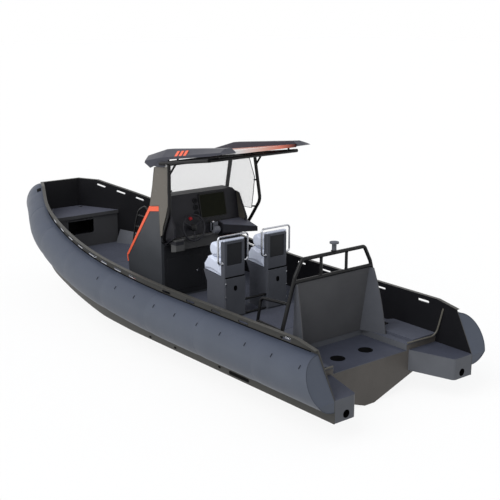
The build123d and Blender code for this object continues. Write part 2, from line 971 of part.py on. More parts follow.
# Throttle: box on the dash's face, with a leaning lever
with BuildPart() as throttle:
    throttle_aft = dash_aft - throttle_reach
    throttle_crown = throttle_low + throttle_box
    with BuildSketch(Plane.XZ.offset(-throttle_side - throttle_width / 2)):
        with BuildLine():
            Polyline(
                (dash_aft - face_gap + (throttle_low - dash_low) * dash_lean, throttle_low),
                (throttle_aft, throttle_low),
                (throttle_aft, throttle_low + throttle_box / 2),
                (dash_aft - throttle_reach / 2, throttle_crown),
                (dash_aft - face_gap + (throttle_crown - dash_low) * dash_lean, throttle_crown),
                close=True,
            )
        make_face()
    extrude(amount=throttle_width)
    lever_foot = (dash_aft - throttle_reach / 2, throttle_side, throttle_low + throttle_box / 2)
    lever_head = (lever_foot[0] - throttle_lean, throttle_side, throttle_low + throttle_height)
    tube([lever_foot, lever_head], throttle_grip)
save(throttle, "throttle")

# Windscreen: front pane, corner posts and side panes
screen_foot = along(screen_foot_share)
screen_head = along(screen_head_share)
screen_slant = hypot(screen_foot - screen_head, screen_top - console_ridge)
with BuildPart() as windscreen_front:
    with BuildSketch(
        Plane(
            origin=(screen_foot, 0, console_ridge + face_gap),
            x_dir=(0, 1, 0),
            z_dir=(screen_top - console_ridge, 0, screen_foot - screen_head),
        )
    ):
        with Locations((0, screen_slant / 2)):
            Rectangle(2 * (screen_half_top - post_radius), screen_slant)
    extrude(amount=glass_thickness)
save(windscreen_front, "windscreen_front")

with BuildPart() as windscreen_posts:
    for side in (1, -1):
        post_side = side * (screen_half_top + face_gap)
        post_foot = console_ridge + post_radius * post_lift_share
        tube([(screen_foot, post_side, post_foot), (screen_head, post_side, screen_top)], post_radius)
save(windscreen_posts, "windscreen_posts")

side_glass_side = console_half_width + trim_thickness + 2 * face_gap
with BuildPart() as windscreen_side:
    with BuildSketch(Plane.XZ.offset(-side_glass_side)):
        with BuildLine():
            Polyline(
                (screen_foot, console_ridge - side_glass_lap),
                (screen_foot, console_ridge),
                (screen_head, screen_top),
                (along(side_glass_aft_share), side_glass_head),
                (along(side_glass_knee_share), side_glass_knee),
                (along(side_glass_low_share), side_glass_low),
                close=True,
            )
        make_face()
    extrude(amount=-glass_thickness)

# Roof rails: ladder of tubes under the roof, with short posts up to it
with BuildPart() as roof_rails:
    rail_aft = along(rail_aft_share) - leg_head_x
    rail_fore = along(rail_fore_share) - leg_head_x
    for side in (1, -1):
        tube(
            [
                offset_point(rail_plane, rail_aft, side * leg_head_side),
                offset_point(rail_plane, rail_fore, side * leg_head_side),
            ],
            frame_radius,
        )
    for place in (rail_aft, 0, rail_fore):
        tube(
            [
                offset_point(rail_plane, place, leg_head_side),
                offset_point(rail_plane, place, -leg_head_side),
            ],
            frame_radius,
        )
        with BuildSketch(rail_plane):
            with GridLocations(0, 2 * roof_post_side, 1, 2):
                with Locations((place, 0)):
                    Circle(roof_post_radius)
        extrude(amount=frame_radius + roof_gap)
save(roof_rails, "roof_rails")

# Hard top leg: bent tube from the console's side to the roof, with glass standoffs and a brace
with BuildPart() as roof_leg:
    leg_outer = side_glass_side + glass_thickness
    leg_side = leg_outer + frame_radius + face_gap
    leg_foot_x = along(leg_foot_share)
    shin = (along(leg_shin_share), leg_shin_side, leg_shin)
    knee = (along(leg_knee_share), leg_knee_side, leg_knee)
    head = (leg_head_x, leg_head_side, leg_head - frame_radius * leg_head_trim_share)
    for height_share in standoff_heights_shares:
        leg_point = between(knee, head, height_share)
        tube([(along(standoff_reach_share), side_glass_side, leg_point[2]), leg_point], standoff_radius)
    split(bisect_by=Plane.XZ.offset(-leg_outer - face_gap), keep=Keep.BOTTOM)
    toe = (leg_foot_x + leg_end, leg_side, leg_foot)
    ankle = (leg_foot_x, leg_side, leg_foot)
    tube([toe, ankle, shin, knee, head], frame_radius, frame_bend)
    pad_middle = between(toe, ankle, half_share)
    tube([(pad_middle[0], console_half_width + face_gap, leg_foot), pad_middle], foot_pad_radius)
    brace_head = (leg_head_x - brace_reach, leg_head_side, brace_top)
    tube([between(knee, head, brace_low_share), brace_head], brace_radius)
    add(roof_rails.part, mode=Mode.SUBTRACT)

# Hard top: centre panel between two faceted side fairings
roof_aft = along(roof_aft_share) - leg_head_x
roof_fore = along(roof_fore_share) - leg_head_x
with BuildPart() as roof_panel:
    with BuildSketch(roof_plane):
        with Locations(((roof_aft + roof_fore) / 2, 0)):
            Rectangle(roof_fore - roof_aft, 2 * roof_half_width)
    extrude(amount=roof_thickness)
save(roof_panel, "roof_panel")

with BuildPart() as roof_fairing:
    for y, column in ((roof_half_width + face_gap, 0), (fairing_crown, 0), (fairing_edge, 2)):
        profile = [
            offset_point(roof_plane, along(row[column]) - leg_head_x, y, fairing_thickness * row[column + 1])
            for row in fairing_shares
        ]
        with BuildSketch(Plane.XZ.offset(-y)):
            with BuildLine():
                Polyline(*[(x, z) for x, outboard, z in profile], close=True)
            make_face()
    loft(ruled=True)

# Console trim: coloured edging on the side panels' top and sloping front
with BuildPart() as console_trim:
    with BuildSketch(Plane.XZ.offset(-console_half_width - face_gap)):
        with BuildLine():
            Polyline(
                (console_crest, console_ridge - trim_top_width),
                (console_ridge_x - trim_width / 2, console_ridge - trim_top_width),
                (console_nose_x - trim_width, console_nose),
                (console_nose_x, console_nose),
                (console_ridge_x, console_ridge),
                (console_crest, console_ridge),
                close=True,
            )
        make_face()
    extrude(amount=-trim_thickness)

# Seats: pod with a rear locker, cushions, stainless rail and locker door
seat_aft = along(seat_aft_share)
seat_middle = seat_inner + seat_width / 2
seat_outer = seat_inner + seat_width
seat_front = seat_aft + seat_back_thickness
pan_fore = seat_aft + seat_pan_reach
door_height = seat_door_high - seat_door_low
door_width = seat_width - 2 * seat_door_margin
door_middle = (seat_door_low + seat_door_high) / 2
with BuildPart() as seat_pod:
    with BuildSketch(Plane.XZ.offset(-seat_inner)):
        with BuildLine():
            Polyline(
                (seat_aft, deck_height),
                (seat_aft, seat_back_height),
                (seat_front, seat_back_height),
                (seat_front, seat_pan_aft),
                (pan_fore, seat_pan_fore),
                (seat_aft + seat_foot_reach, seat_knuckle),
                (seat_aft + seat_foot_reach, deck_height),
                close=True,
            )
        make_face()
    extrude(amount=-seat_width)
    fillet(seat_pod.edges().filter_by(Axis.Z).group_by(Axis.X)[0], radius=seat_edge)
    with BuildSketch(Plane.YZ.offset(seat_aft)):
        with Locations((seat_middle, (recess_low + recess_high) / 2)):
            Rectangle(recess_width, recess_high - recess_low)
    extrude(amount=recess_depth, mode=Mode.SUBTRACT)
    with BuildSketch(Plane.YZ.offset(seat_aft)):
        with Locations((seat_middle, door_middle)):
            Rectangle(door_width - 2 * seat_locker_margin, door_height - 2 * seat_locker_margin)
    extrude(amount=seat_locker_depth, mode=Mode.SUBTRACT)

# Seat door: rear panel of the pod with a round latch hole
with BuildPart() as seat_door:
    with BuildSketch(Plane.YZ.offset(seat_aft - face_gap)):
        with Locations((seat_middle, door_middle)):
            Rectangle(door_width, door_height)
        with Locations((seat_middle, latch_height)):
            Circle(latch_radius, mode=Mode.SUBTRACT)
    extrude(amount=-seat_door_thickness)

# Seat cushion: wedge pad, D-section bolster above it and a roll on top of the back
with BuildPart() as seat_cushion:
    pad_aft = seat_front + face_gap
    with BuildSketch(Plane.XZ.offset(-seat_inner)):
        with BuildLine():
            Polyline(
                (pad_aft, seat_pan_aft + pad_height),
                (pad_aft, seat_pan_aft + face_gap),
                (pan_fore, seat_pan_fore + face_gap),
                (pan_fore, seat_pan_fore + pad_fore),
                (pan_fore - pad_shoulder, seat_pan_fore + pad_shoulder_height),
                (pan_fore - pad_crown, seat_pan_aft + pad_height),
                close=True,
            )
        make_face()
    extrude(amount=-seat_width)
    bolster_x = seat_aft + seat_back_thickness + bolster_reach
    bolster_z = seat_pan_aft + pad_height + bolster_gap + bolster_radius
    with BuildSketch(Plane.XZ.offset(-seat_inner)):
        with Locations((bolster_x, bolster_z)):
            Circle(bolster_radius)
        with Locations(((pad_aft + bolster_x) / 2, bolster_z)):
            Rectangle(bolster_x - pad_aft, 2 * bolster_radius)
    extrude(amount=-seat_width)
    with BuildSketch(Plane.XZ.offset(-seat_inner)):
        with Locations((seat_aft + seat_back_thickness / 2, seat_back_height + face_gap + cap_height / 2)):
            SlotOverall(seat_back_thickness, cap_height)
    extrude(amount=-seat_width)

# Seat rail: stainless hoop over the back, turned in to the pod's sides
with BuildPart() as seat_rail:
    rail_x = seat_aft + seat_back_thickness / 2
    tube(
        [
            (rail_x, seat_inner - face_gap, seat_rail_low),
            (rail_x, seat_inner - seat_rail_reach, seat_rail_low),
            (rail_x, seat_inner - seat_rail_reach, seat_rail_top),
            (rail_x, seat_outer + seat_rail_reach, seat_rail_top),
            (rail_x, seat_outer + seat_rail_reach, seat_rail_low),
            (rail_x, seat_outer + face_gap, seat_rail_low),
        ],
        seat_rail_radius,
        seat_rail_bend,
    )

# Foot rail between the seats
with BuildPart() as foot_rail:
    for height in (foot_rail_height, foot_rail_low):
        tube(
            [
                (along(foot_rail_share), seat_inner - face_gap, height),
                (along(foot_rail_share), face_gap - seat_inner, height),
            ],
            foot_rail_radius,
        )
save(foot_rail, "foot_rail")

# Handrails on both edges of the console's sloping front, on short posts
nose_plane = Plane(
    origin=(console_nose_x, 0, console_nose),
    x_dir=(0, 1, 0),
    z_dir=(console_ridge - console_nose, 0, console_nose_x - console_ridge_x),
)
nose_slant = hypot(console_ridge - console_nose, console_nose_x - console_ridge_x)
handrail_low = nose_slant * handrail_low_share
handrail_high = nose_slant * handrail_high_share
with BuildPart() as console_handrail:
    for side in (1, -1):
        tube(
            [
                offset_point(nose_plane, side * handrail_side, handrail_low, face_gap),
                offset_point(nose_plane, side * handrail_side, handrail_low, handrail_standoff),
                offset_point(nose_plane, side * handrail_side, handrail_high, handrail_standoff),
                offset_point(nose_plane, side * handrail_side, handrail_high, face_gap),
            ],
            handrail_radius,
            2 * handrail_radius,
        )
        for post_share in handrail_posts_shares:
            place = nose_slant * post_share
            tube(
                [
                    offset_point(nose_plane, side * handrail_side, place, face_gap),
                    offset_point(nose_plane, side * handrail_side, place, handrail_standoff),
                ],
                handrail_radius,
            )
save(console_handrail, "console_handrail")

paired_pieces = (
    (side_plate, "side_plate"),
    (side_deck, "side_deck"),
    (collar, "collar"),
    (stern_step, "stern_step"),
    (side_hoop, "side_hoop"),
    (windscreen_side, "windscreen_side"),
    (roof_leg, "roof_leg"),
    (roof_fairing, "roof_fairing"),
    (console_trim, "console_trim"),
    (seat_pod, "seat_pod"),
    (seat_door, "seat_door"),
    (seat_cushion, "seat_cushion"),
    (seat_rail, "seat_rail"),
)
for piece, stem in paired_pieces:
    for side in (1, -1):
        with BuildPart() as placed:
            if side > 0:
                add(piece.part)
            else:
                mirror(piece.part, about=Plane.XZ)
        save(placed, side_name(stem, side))
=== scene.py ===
"""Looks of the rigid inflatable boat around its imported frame. Lengths are in metres."""
from math import asin, atan2, cos, exp, hypot, pi, radians, sin, tan

import bmesh
import bpy
from mathutils import Matrix, Vector
from mathutils.bvhtree import BVHTree


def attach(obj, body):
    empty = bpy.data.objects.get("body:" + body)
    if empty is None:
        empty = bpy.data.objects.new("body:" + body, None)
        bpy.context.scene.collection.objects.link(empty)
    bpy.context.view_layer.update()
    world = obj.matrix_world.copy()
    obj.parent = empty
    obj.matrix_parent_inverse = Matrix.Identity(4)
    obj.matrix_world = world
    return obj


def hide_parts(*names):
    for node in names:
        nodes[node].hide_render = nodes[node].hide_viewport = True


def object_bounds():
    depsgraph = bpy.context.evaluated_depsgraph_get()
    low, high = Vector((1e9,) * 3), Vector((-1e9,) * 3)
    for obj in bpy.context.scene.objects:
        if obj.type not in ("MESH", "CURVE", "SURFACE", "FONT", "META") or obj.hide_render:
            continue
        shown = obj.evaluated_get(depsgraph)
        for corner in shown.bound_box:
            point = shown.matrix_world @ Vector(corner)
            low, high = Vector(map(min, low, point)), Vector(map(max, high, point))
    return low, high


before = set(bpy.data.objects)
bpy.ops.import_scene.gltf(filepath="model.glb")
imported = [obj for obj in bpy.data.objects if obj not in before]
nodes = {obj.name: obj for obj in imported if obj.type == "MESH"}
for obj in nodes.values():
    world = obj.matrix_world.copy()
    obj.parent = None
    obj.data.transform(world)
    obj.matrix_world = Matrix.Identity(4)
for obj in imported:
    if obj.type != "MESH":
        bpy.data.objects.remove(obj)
cad_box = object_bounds()
scene = bpy.context.scene

# Camera
camera_place = (-11.595, 8.1545, 4.5225)
camera_yaw = -38.76
camera_pitch = -14.15
camera_lens = 68.67

# Colours, as red, green and blue in sRGB out of 255
collar_grey = (79, 84, 94)
collar_crown_shade_grey = (66, 72, 86)
patch_grey = (60, 65, 75)
rubber_and_shade_black = (6, 6, 7)
plate_outer = (64, 63, 60)
plate_inner_dark_and_shade = (20, 20, 23)
top_shade_grey = (61, 64, 76)
mat_grey = (72, 75, 87)
hull_grey = (84, 80, 76)
step_grey = (86, 88, 93)
shield_grey = (78, 78, 80)
shield_wing_light_grey = (84, 86, 92)
console_grey = (64, 66, 70)
panel_black = (36, 37, 40)
dash_black = (40, 40, 45)
cheek_grey = (92, 89, 82)
pod_grey = (80, 82, 89)
door_grey = (84, 86, 92)
tube_black = (11, 11, 13)
cushion_white = (212, 218, 234)
trim_orange = (243, 105, 74)
roof_grey = (54, 55, 65)
roof_white = (246, 244, 242)
roof_salmon = (238, 132, 108)
lever_pale = (112, 114, 121)
steel_white = (186, 188, 194)
smoke_brown = (104, 99, 92)
pane_grey = (226, 227, 228)
button_red = (196, 44, 52)
loop_grey = (38, 41, 48)
grip_grey = (74, 77, 88)
post_grey = (84, 84, 84)
ledge_grey = (84, 84, 84)
locker_shade_black = (24, 24, 27)
locker_grey = (78, 78, 80)
locker_top_light_grey = (82, 84, 96)
lid_grey = (96, 98, 110)
dial_black = (20, 21, 24)
display_olive = (24, 26, 14)
roof_blush = (244, 190, 172)
roof_ember = (70, 26, 24)

# Finish
gloss_spread = 0.08
grain_depth = 0.002

# Light
soft_strength = 0.56
soft_tint = (0.93, 0.96, 1.0, 1)
key_energy = 2.2
key_spread = radians(55)
key_turn = (radians(-47), 0, radians(8))
floor_share = 0.12
floor_gap = 0.002
floor_reach = 120

# Directions, and the sides as pairs of sign and name
upward = (0, 0, 1)
to_port = (0, 1, 0)
to_starboard = (0, -1, 0)
to_bow = (1, 0, 0)
to_stern = (-1, 0, 0)
sides = ((1, "port"), (-1, "starboard"))

# Hull: the side line has pairs of place along and half beam
hull_length = 8.9
stern_end = -hull_length / 2
side_points = ((stern_end, 1.1952), (0.1513, 1.245), (2.5499, 0.9798), (3.2485, 0.7445))
bow_corner = 4.1207
bow_corner_half = 0.3580
sheer_level = 0.86
sheer_rise = 0.615
sheer_aft = -1.5486
sheer_fore = 3.7496
plate_gauge = 0.010
weld_reach = 0.00001
deck_level = 0.36

# Collar
tube_radius = 0.305
tube_drop = 0.415
tail_run = 0.28
tail_break = 0.265
tail_top = 0.751
bow_rise = 0.092
bow_rise_start = 3.74
bow_rise_end = 4.1
seam_places = (-3.3, -2.15, -1.0, 0.15, 1.3, 2.35, 3.2)
seam_half = 0.021
tab_first = -4.12
tab_pitch = 0.4875
tab_count = 10
tab_low = radians(35)
tab_high = radians(45)
seam_pull = 0.006
seam_spread = 0.07
end_run = 0.9
patch_edge = 0.003


def linear(colour):
    """Linear colour with alpha for an sRGB colour out of 255."""
    channels = []
    for value in colour:
        share = value / 255
        channels.append(share / 12.92 if share <= 0.04045 else ((share + 0.055) / 1.055) ** 2.4)
    return (*channels, 1.0)


def scaled(colour, share):
    """Colour made lighter or darker by a share."""
    return tuple(value * share for value in colour[:3]) + (1.0,)


def texture_coordinates(tree):
    """Coordinates that stay with the object."""
    return tree.nodes.new("ShaderNodeTexCoord").outputs["Object"]


def noise(tree, vector, scale, detail, roughness):
    """Factor of a noise over a vector."""
    texture = tree.nodes.new("ShaderNodeTexNoise")
    texture.inputs["Scale"].default_value = scale
    texture.inputs["Detail"].default_value = detail
    texture.inputs["Roughness"].default_value = roughness
    tree.links.new(vector, texture.inputs["Vector"])
    return texture.outputs["Fac"]


def ramp(tree, factor, stops):
    """Colour ramp over a factor, from pairs of position and linear colour."""
    node = tree.nodes.new("ShaderNodeValToRGB")
    elements = node.color_ramp.elements
    while len(elements) < len(stops):
        elements.new(0.5)
    for element, (position, colour) in zip(elements, stops):
        element.position = position
        element.color = colour
    tree.links.new(factor, node.inputs["Fac"])
    return node.outputs["Color"]


def facing(tree, direction, low, high):
    """Factor from 0 to 1 as the surface turns towards a fixed direction."""
    geometry = tree.nodes.new("ShaderNodeNewGeometry")
    product = tree.nodes.new("ShaderNodeVectorMath")
    product.operation = "DOT_PRODUCT"
    product.inputs[1].default_value = direction
    tree.links.new(geometry.outputs["Normal"], product.inputs[0])
    span = tree.nodes.new("ShaderNodeMapRange")
    span.inputs["From Min"].default_value = low
    span.inputs["From Max"].default_value = high
    tree.links.new(product.outputs["Value"], span.inputs["Value"])
    return span.outputs["Result"]


def blended(tree, factor, near, far):
    """Colour mixed between two colour sockets."""
    mix = tree.nodes.new("ShaderNodeMix")
    mix.data_type = "RGBA"
    tree.links.new(factor, mix.inputs["Factor"])
    tree.links.new(near, mix.inputs["A"])
    tree.links.new(far, mix.inputs["B"])
    return mix.outputs["Result"]


def clouds(tree, vector, colour, variation):
    """Uneven tint of one colour."""
    base = linear(colour)
    factor = noise(tree, vector, 2.3, 6.0, 0.6)
    return ramp(tree, factor, [(0.3, scaled(base, 1 - variation)), (0.7, scaled(base, 1 + variation))])


def finish_material(
    name, colour, roughness, grain=400.0, bump=0.1, variation=0.1, metallic=0.0, specular=0.22, turned_to=()
):
    """Painted, moulded or coated surface with cloudy colour, uneven gloss and a fine grain.

    turned_to has rows of a direction, the lowest and highest facing, and the colour of faces turned there;
    this colour by facing is painted light and shade, and for the plates' inner faces also their darker paint.
    """
    material = bpy.data.materials.new(name)
    material.use_nodes = True
    tree = material.node_tree
    shader = tree.nodes["Principled BSDF"]
    vector = texture_coordinates(tree)
    tint = clouds(tree, vector, colour, variation)
    for direction, low, high, other in turned_to:
        tint = blended(tree, facing(tree, direction, low, high), tint, clouds(tree, vector, other, variation))
    tree.links.new(tint, shader.inputs["Base Color"])
    gloss = tree.nodes.new("ShaderNodeMapRange")
    gloss.inputs["To Min"].default_value = max(roughness - gloss_spread, 0.02)
    gloss.inputs["To Max"].default_value = min(roughness + gloss_spread, 1.0)
    tree.links.new(noise(tree, vector, 9.0, 5.0, 0.7), gloss.inputs["Value"])
    tree.links.new(gloss.outputs["Result"], shader.inputs["Roughness"])
    shader.inputs["Metallic"].default_value = metallic
    shader.inputs["Specular IOR Level"].default_value = specular
    relief = tree.nodes.new("ShaderNodeBump")
    relief.inputs["Strength"].default_value = bump
    relief.inputs["Distance"].default_value = grain_depth
    tree.links.new(noise(tree, vector, grain, 3.0, 0.6), relief.inputs["Height"])
    tree.links.new(relief.outputs["Normal"], shader.inputs["Normal"])
    return material


def glass_material(name, colour, alpha, roughness=0.1):
    """Thin tinted pane that lets the camera see through."""
    material = finish_material(name, colour, roughness, grain=60.0, bump=0.01, variation=0.03)
    shader = material.node_tree.nodes["Principled BSDF"]
    shader.inputs["Alpha"].default_value = alpha
    return material


def dress(material, *names):
    """Give CAD nodes a material; a name without a side stands for both sides."""
    for name in names:
        found = [n for n in (name, name + "_port", name + "_starboard") if n in nodes]
        for node in found:
            mesh = nodes[node].data
            mesh.materials.clear()
            mesh.materials.append(material)


def side_at(x):
    """Half width and heading of the side line at a place along the boat."""
    start, middle, shoulder, cheek = side_points
    heading = atan2(middle[1] - start[1], middle[0] - start[0])
    if x <= middle[0]:
        return start[1] + (x - start[0]) * tan(heading), heading
    for near, far in ((middle, shoulder), (shoulder, cheek)):
        turn = 2 * (atan2(far[1] - near[1], far[0] - near[0]) - heading)
        radius = hypot(far[0] - near[0], far[1] - near[1]) / (2 * sin(turn / 2))
        if x <= far[0]:
            here = asin(sin(heading) + (x - near[0]) / radius)
            return near[1] + radius * (cos(heading) - cos(here)), here
        heading += turn
    return cheek[1] + (x - cheek[0]) * tan(heading), heading


def lip_at(x):
    """Height and slope of the cap at a place along the boat."""
    if x <= sheer_aft:
        return sheer_level, 0
    if x >= sheer_fore:
        return sheer_level + sheer_rise, 0
    run = sheer_fore - sheer_aft
    radius = (run**2 + sheer_rise**2) / (2 * sheer_rise)
    slope = asin((x - sheer_aft) / radius)
    return sheer_level + radius * (1 - cos(slope)), slope


def skin(form, rings, closed=True):
    """Faces between rings of points, each with as many points as the next."""
    layers = [[form.verts.new(point) for point in ring] for ring in rings]
    count = len(layers[0])
    for near, far in zip(layers, layers[1:]):
        for index in range(count if closed else count - 1):
            following = (index + 1) % count
            form.faces.new((near[index], near[following], far[following], far[index]))
    return layers


def capped(form, rings):
    """Closed solid from rings, with a face over each end."""
    layers = skin(form, rings)
    form.faces.new(layers[0])
    form.faces.new(layers[-1])


def panel(form, points, offset):
    """Flat panel between a closed outline of points and the same outline moved by an offset."""
    near = [Vector(point) for point in points]
    capped(form, [near, [point + Vector(offset) for point in near]])


def place_frame(origin, along, up=upward):
    """Matrix with X along a direction and Z as near up as it can be."""
    x_axis = Vector(along).normalized()
    y_axis = Vector(up).cross(x_axis).normalized()
    z_axis = x_axis.cross(y_axis)
    matrix = Matrix((x_axis, y_axis, z_axis)).transposed().to_4x4()
    matrix.translation = Vector(origin)
    return matrix


def turned(form, profile, base, axis, steps=28):
    """Body turned about an axis from pairs of radius and height."""
    matrix = Vector(axis).to_track_quat("Z", "Y").to_matrix().to_4x4()
    matrix.translation = Vector(base)
    rings = []
    for radius, height in profile:
        rings.append([matrix @ Vector((across, above, height)) for across, above in circle(radius, steps)])
    capped(form, rings)


def rounded_path(points, radius, steps=6):
    """Path through points with its corners rounded."""
    points = [Vector(point) for point in points]
    path = [points[0]]
    for before, corner, after in zip(points, points[1:], points[2:]):
        inward = (before - corner).normalized()
        onward = (after - corner).normalized()
        reach = min(radius, (before - corner).length / 2, (after - corner).length / 2)
        start = corner + inward * reach
        end = corner + onward * reach
        for step in range(steps + 1):
            share = step / steps
            path.append(start * (1 - share) ** 2 + corner * 2 * share * (1 - share) + end * share**2)
    path.append(points[-1])
    return path


def swept(form, path, section, up=upward, closed=False):
    """Section of pairs across and upward carried along a path."""
    path = [Vector(point) for point in path]
    rings = []
    for index, point in enumerate(path):
        before = path[index - 1] if index or closed else point
        after = path[(index + 1) % len(path)] if index < len(path) - 1 or closed else point
        tangent = (after - before).normalized()
        aside = Vector(up).cross(tangent).normalized()
        rise = tangent.cross(aside)
        rings.append([point + aside * across + rise * height for across, height in section])
    if closed:
        skin(form, rings + [rings[0]])
        bmesh.ops.remove_doubles(form, verts=form.verts, dist=weld_reach)
    else:
        capped(form, rings)


def circle(radius, steps=10):
    """Round section about its middle."""
    angles = [2 * pi * step / steps for step in range(steps)]
    return [(radius * cos(angle), radius * sin(angle)) for angle in angles]


def bar_section(across, above):
    """Rectangular section about its middle, from half its width and height."""
    return [(-across, -above), (across, -above), (across, above), (-across, above)]


def rounded_outline(width, height, radius, steps=5):
    """Rectangle with rounded corners, about its middle."""
    outline = []
    for corner in range(4):
        turn = corner * pi / 2
        along = (width / 2 - radius) * (1 if corner in (0, 3) else -1)
        above = (height / 2 - radius) * (1 if corner in (0, 1) else -1)
        for step in range(steps + 1):
            angle = turn + pi / 2 * step / steps
            outline.append((along + radius * cos(angle), above + radius * sin(angle)))
    return outline


def inset(outline, amount):
    """Closed outline moved inward, corner by corner, for an anticlockwise outline."""
    moved = []
    for index, corner in enumerate(outline):
        here = Vector(corner)
        inward = (here - Vector(outline[index - 1])).normalized()
        onward = (Vector(outline[(index + 1) % len(outline)]) - here).normalized()
        left = Vector((-inward.y, inward.x)) + Vector((-onward.y, onward.x))
        share = amount / max(left.length_squared / 2, 0.2)
        moved.append(here + left * share)
    return moved


def slab(form, outline, thickness, matrix, edge=0.002):
    """Plate with bevelled edges from an outline in a frame's XY."""
    rings = []
    for amount, height in ((edge, 0), (0, edge), (0, thickness - edge), (edge, thickness)):
        ring = inset(outline, amount) if amount else [Vector(corner) for corner in outline]
        rings.append([matrix @ Vector((corner.x, corner.y, height)) for corner in ring])
    capped(form, rings)


def linked(name, data):
    """Object with its data, linked to the scene."""
    thing = bpy.data.objects.new(name, data)
    scene.collection.objects.link(thing)
    return thing


def finish_piece(name, form, material, body="boat", crease=35):
    """Object from a form, smooth but for its creases, riding on a body."""
    mesh = bpy.data.meshes.new(name)
    bmesh.ops.recalc_face_normals(form, faces=form.faces)
    form.to_mesh(mesh)
    form.free()
    mesh.shade_smooth()
    mesh.set_sharp_from_angle(angle=radians(crease))
    mesh.materials.append(material)
    piece = linked(name, mesh)
    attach(piece, body)
    return piece


def flipped(path, side):
    """Points on a side of the boat: 1 keeps them to port, -1 puts them to starboard."""
    return [(point[0], side * point[1], point[2]) for point in path]


def along_hull(share):
    """Place along the boat for a share of the hull's length from the stern."""
    return share * hull_length + stern_end


def carried(matrix, outline):
    """Points of an outline that lies in a frame's XY."""
    return [matrix @ Vector((across, above, 0)) for across, above in outline]


def aft_frame(x, y, z):
    """Frame on a face that looks aft, X to starboard."""
    return place_frame((x, y, z), to_starboard, to_stern)


def plate_frame(x, side, z, lift, slope=0):
    """Frame outside a side plate, X along the plate and Z outward, and the outward direction."""
    y, heading = side_at(x)
    outward = Vector((-sin(heading), side * cos(heading), 0))
    along = (cos(heading) * cos(slope), side * sin(heading), sin(slope))
    return place_frame(Vector((x, side * y, z)) + outward * (plate_gauge + lift), along, outward), outward


def slab_piece(name, slabs, material, body="boat"):
    """Piece of bevelled plates, from rows of an outline, a thickness, a frame and an edge."""
    form = bmesh.new()
    for outline, thickness, matrix, edge in slabs:
        slab(form, outline, thickness, matrix, edge)
    return finish_piece(name, form, material, body)


def turned_piece(name, profile, places, axis, steps, material, body="boat"):
    """Piece of like bodies turned about one axis, one at each place."""
    form = bmesh.new()
    for place in places:
        turned(form, profile, place, axis, steps)
    return finish_piece(name, form, material, body)


def swept_piece(name, path, section, up, material, closed=False):
    """Piece of one section carried along a path."""
    form = bmesh.new()
    swept(form, path, section, up, closed)
    return finish_piece(name, form, material)


def panel_piece(name, panels, side, material):
    """Piece of upright panels along the boat, from rows of an outline, a place across and a thickness."""
    form = bmesh.new()
    for outline, y, thickness in panels:
        panel(form, [(x, side * y, z) for x, z in outline], (0, side * thickness, 0))
    return finish_piece(name, form, material)


def painted_top_tint(colour):
    """Rows of turned_to that paint light and shade, as a colour, on the faces that look up."""
    return [(upward, 0.3, 0.9, colour)]


# Materials
# Faces of the collar that look up take a darker bluish grey: painted shade on the crown by facing.
collar_coat = finish_material(
    "collar_coat", collar_grey, 0.5, 900.0, 0.12, 0.06, turned_to=[(upward, 0.25, 1.0, collar_crown_shade_grey)]
)
loop_coat = finish_material("loop_coat", loop_grey, 0.6, 500.0, 0.2, specular=0.1)
patch_coat = finish_material("patch_coat", patch_grey, 0.6, 900.0, 0.2)
# Near-black rubber; the same near-black also stands as painted shade in holes, slots and the seat latch
# recesses.
rubber_and_shade = finish_material("rubber_and_shade", rubber_and_shade_black, 0.6, 500.0, 0.2, specular=0.04)
# Hull and step faces that look up take a darker bluish grey than their sides: painted shade by facing.
hull_paint = finish_material("hull_paint", hull_grey, 0.5, 250.0, 0.1, turned_to=painted_top_tint(top_shade_grey))
deck_grip = finish_material("deck_grip", grip_grey, 0.75, 1400.0, 0.5)
mat_grip = finish_material("mat_grip", mat_grey, 0.85, 700.0, 0.9)
step_paint = finish_material("step_paint", step_grey, 0.5, 250.0, 0.1, turned_to=painted_top_tint(top_shade_grey))
console_paint = finish_material("console_paint", console_grey, 0.42, 250.0, 0.08)
panel_paint = finish_material("panel_paint", panel_black, 0.5, 300.0, 0.1)
dash_panel = finish_material("dash_panel", dash_black, 0.5, 700.0, 0.25)
cheek_paint = finish_material("cheek_paint", cheek_grey, 0.45, 250.0, 0.1)
pod_paint = finish_material("pod_paint", pod_grey, 0.5, 250.0, 0.1)
door_paint = finish_material("door_paint", door_grey, 0.5, 250.0, 0.1)
tube_coat = finish_material("tube_coat", tube_black, 0.35, 500.0, 0.1)
vinyl = finish_material("cushion_vinyl", cushion_white, 0.5, 900.0, 0.25, 0.03)
post_paint = finish_material("post_paint", post_grey, 0.5, 300.0, 0.05, 0.06)
locker_shade = finish_material("locker_shade", locker_shade_black, 0.5, 300.0, 0.05, 0.1, specular=0.1)
stainless = finish_material("stainless", steel_white, 0.16, 300.0, 0.02, 0.03, metallic=1.0)
orange_paint = finish_material("orange_paint", trim_orange, 0.4, 300.0, 0.05, 0.04)
lever_paint = finish_material("lever_paint", lever_pale, 0.35, 300.0, 0.05)
red_plastic = finish_material("red_plastic", button_red, 0.4, 300.0, 0.05)
roof_paint = finish_material("roof_paint", roof_grey, 0.4, 250.0, 0.03, 0.05)
lid_paint = finish_material("lid_paint", lid_grey, 0.5, 500.0, 0.2)
ledge_paint = finish_material("ledge_paint", ledge_grey, 0.5, 500.0, 0.2)
pane_glass = glass_material("pane_glass", pane_grey, 0.16)
smoke_glass = glass_material("smoke_glass", smoke_brown, 0.95, 0.25)
dial_glass = finish_material("dial_glass", dial_black, 0.3, 200.0, 0.01, 0.1, specular=0.05)
display_glass = finish_material("display_glass", display_olive, 0.3, 200.0, 0.01, 0.35, specular=0.05)
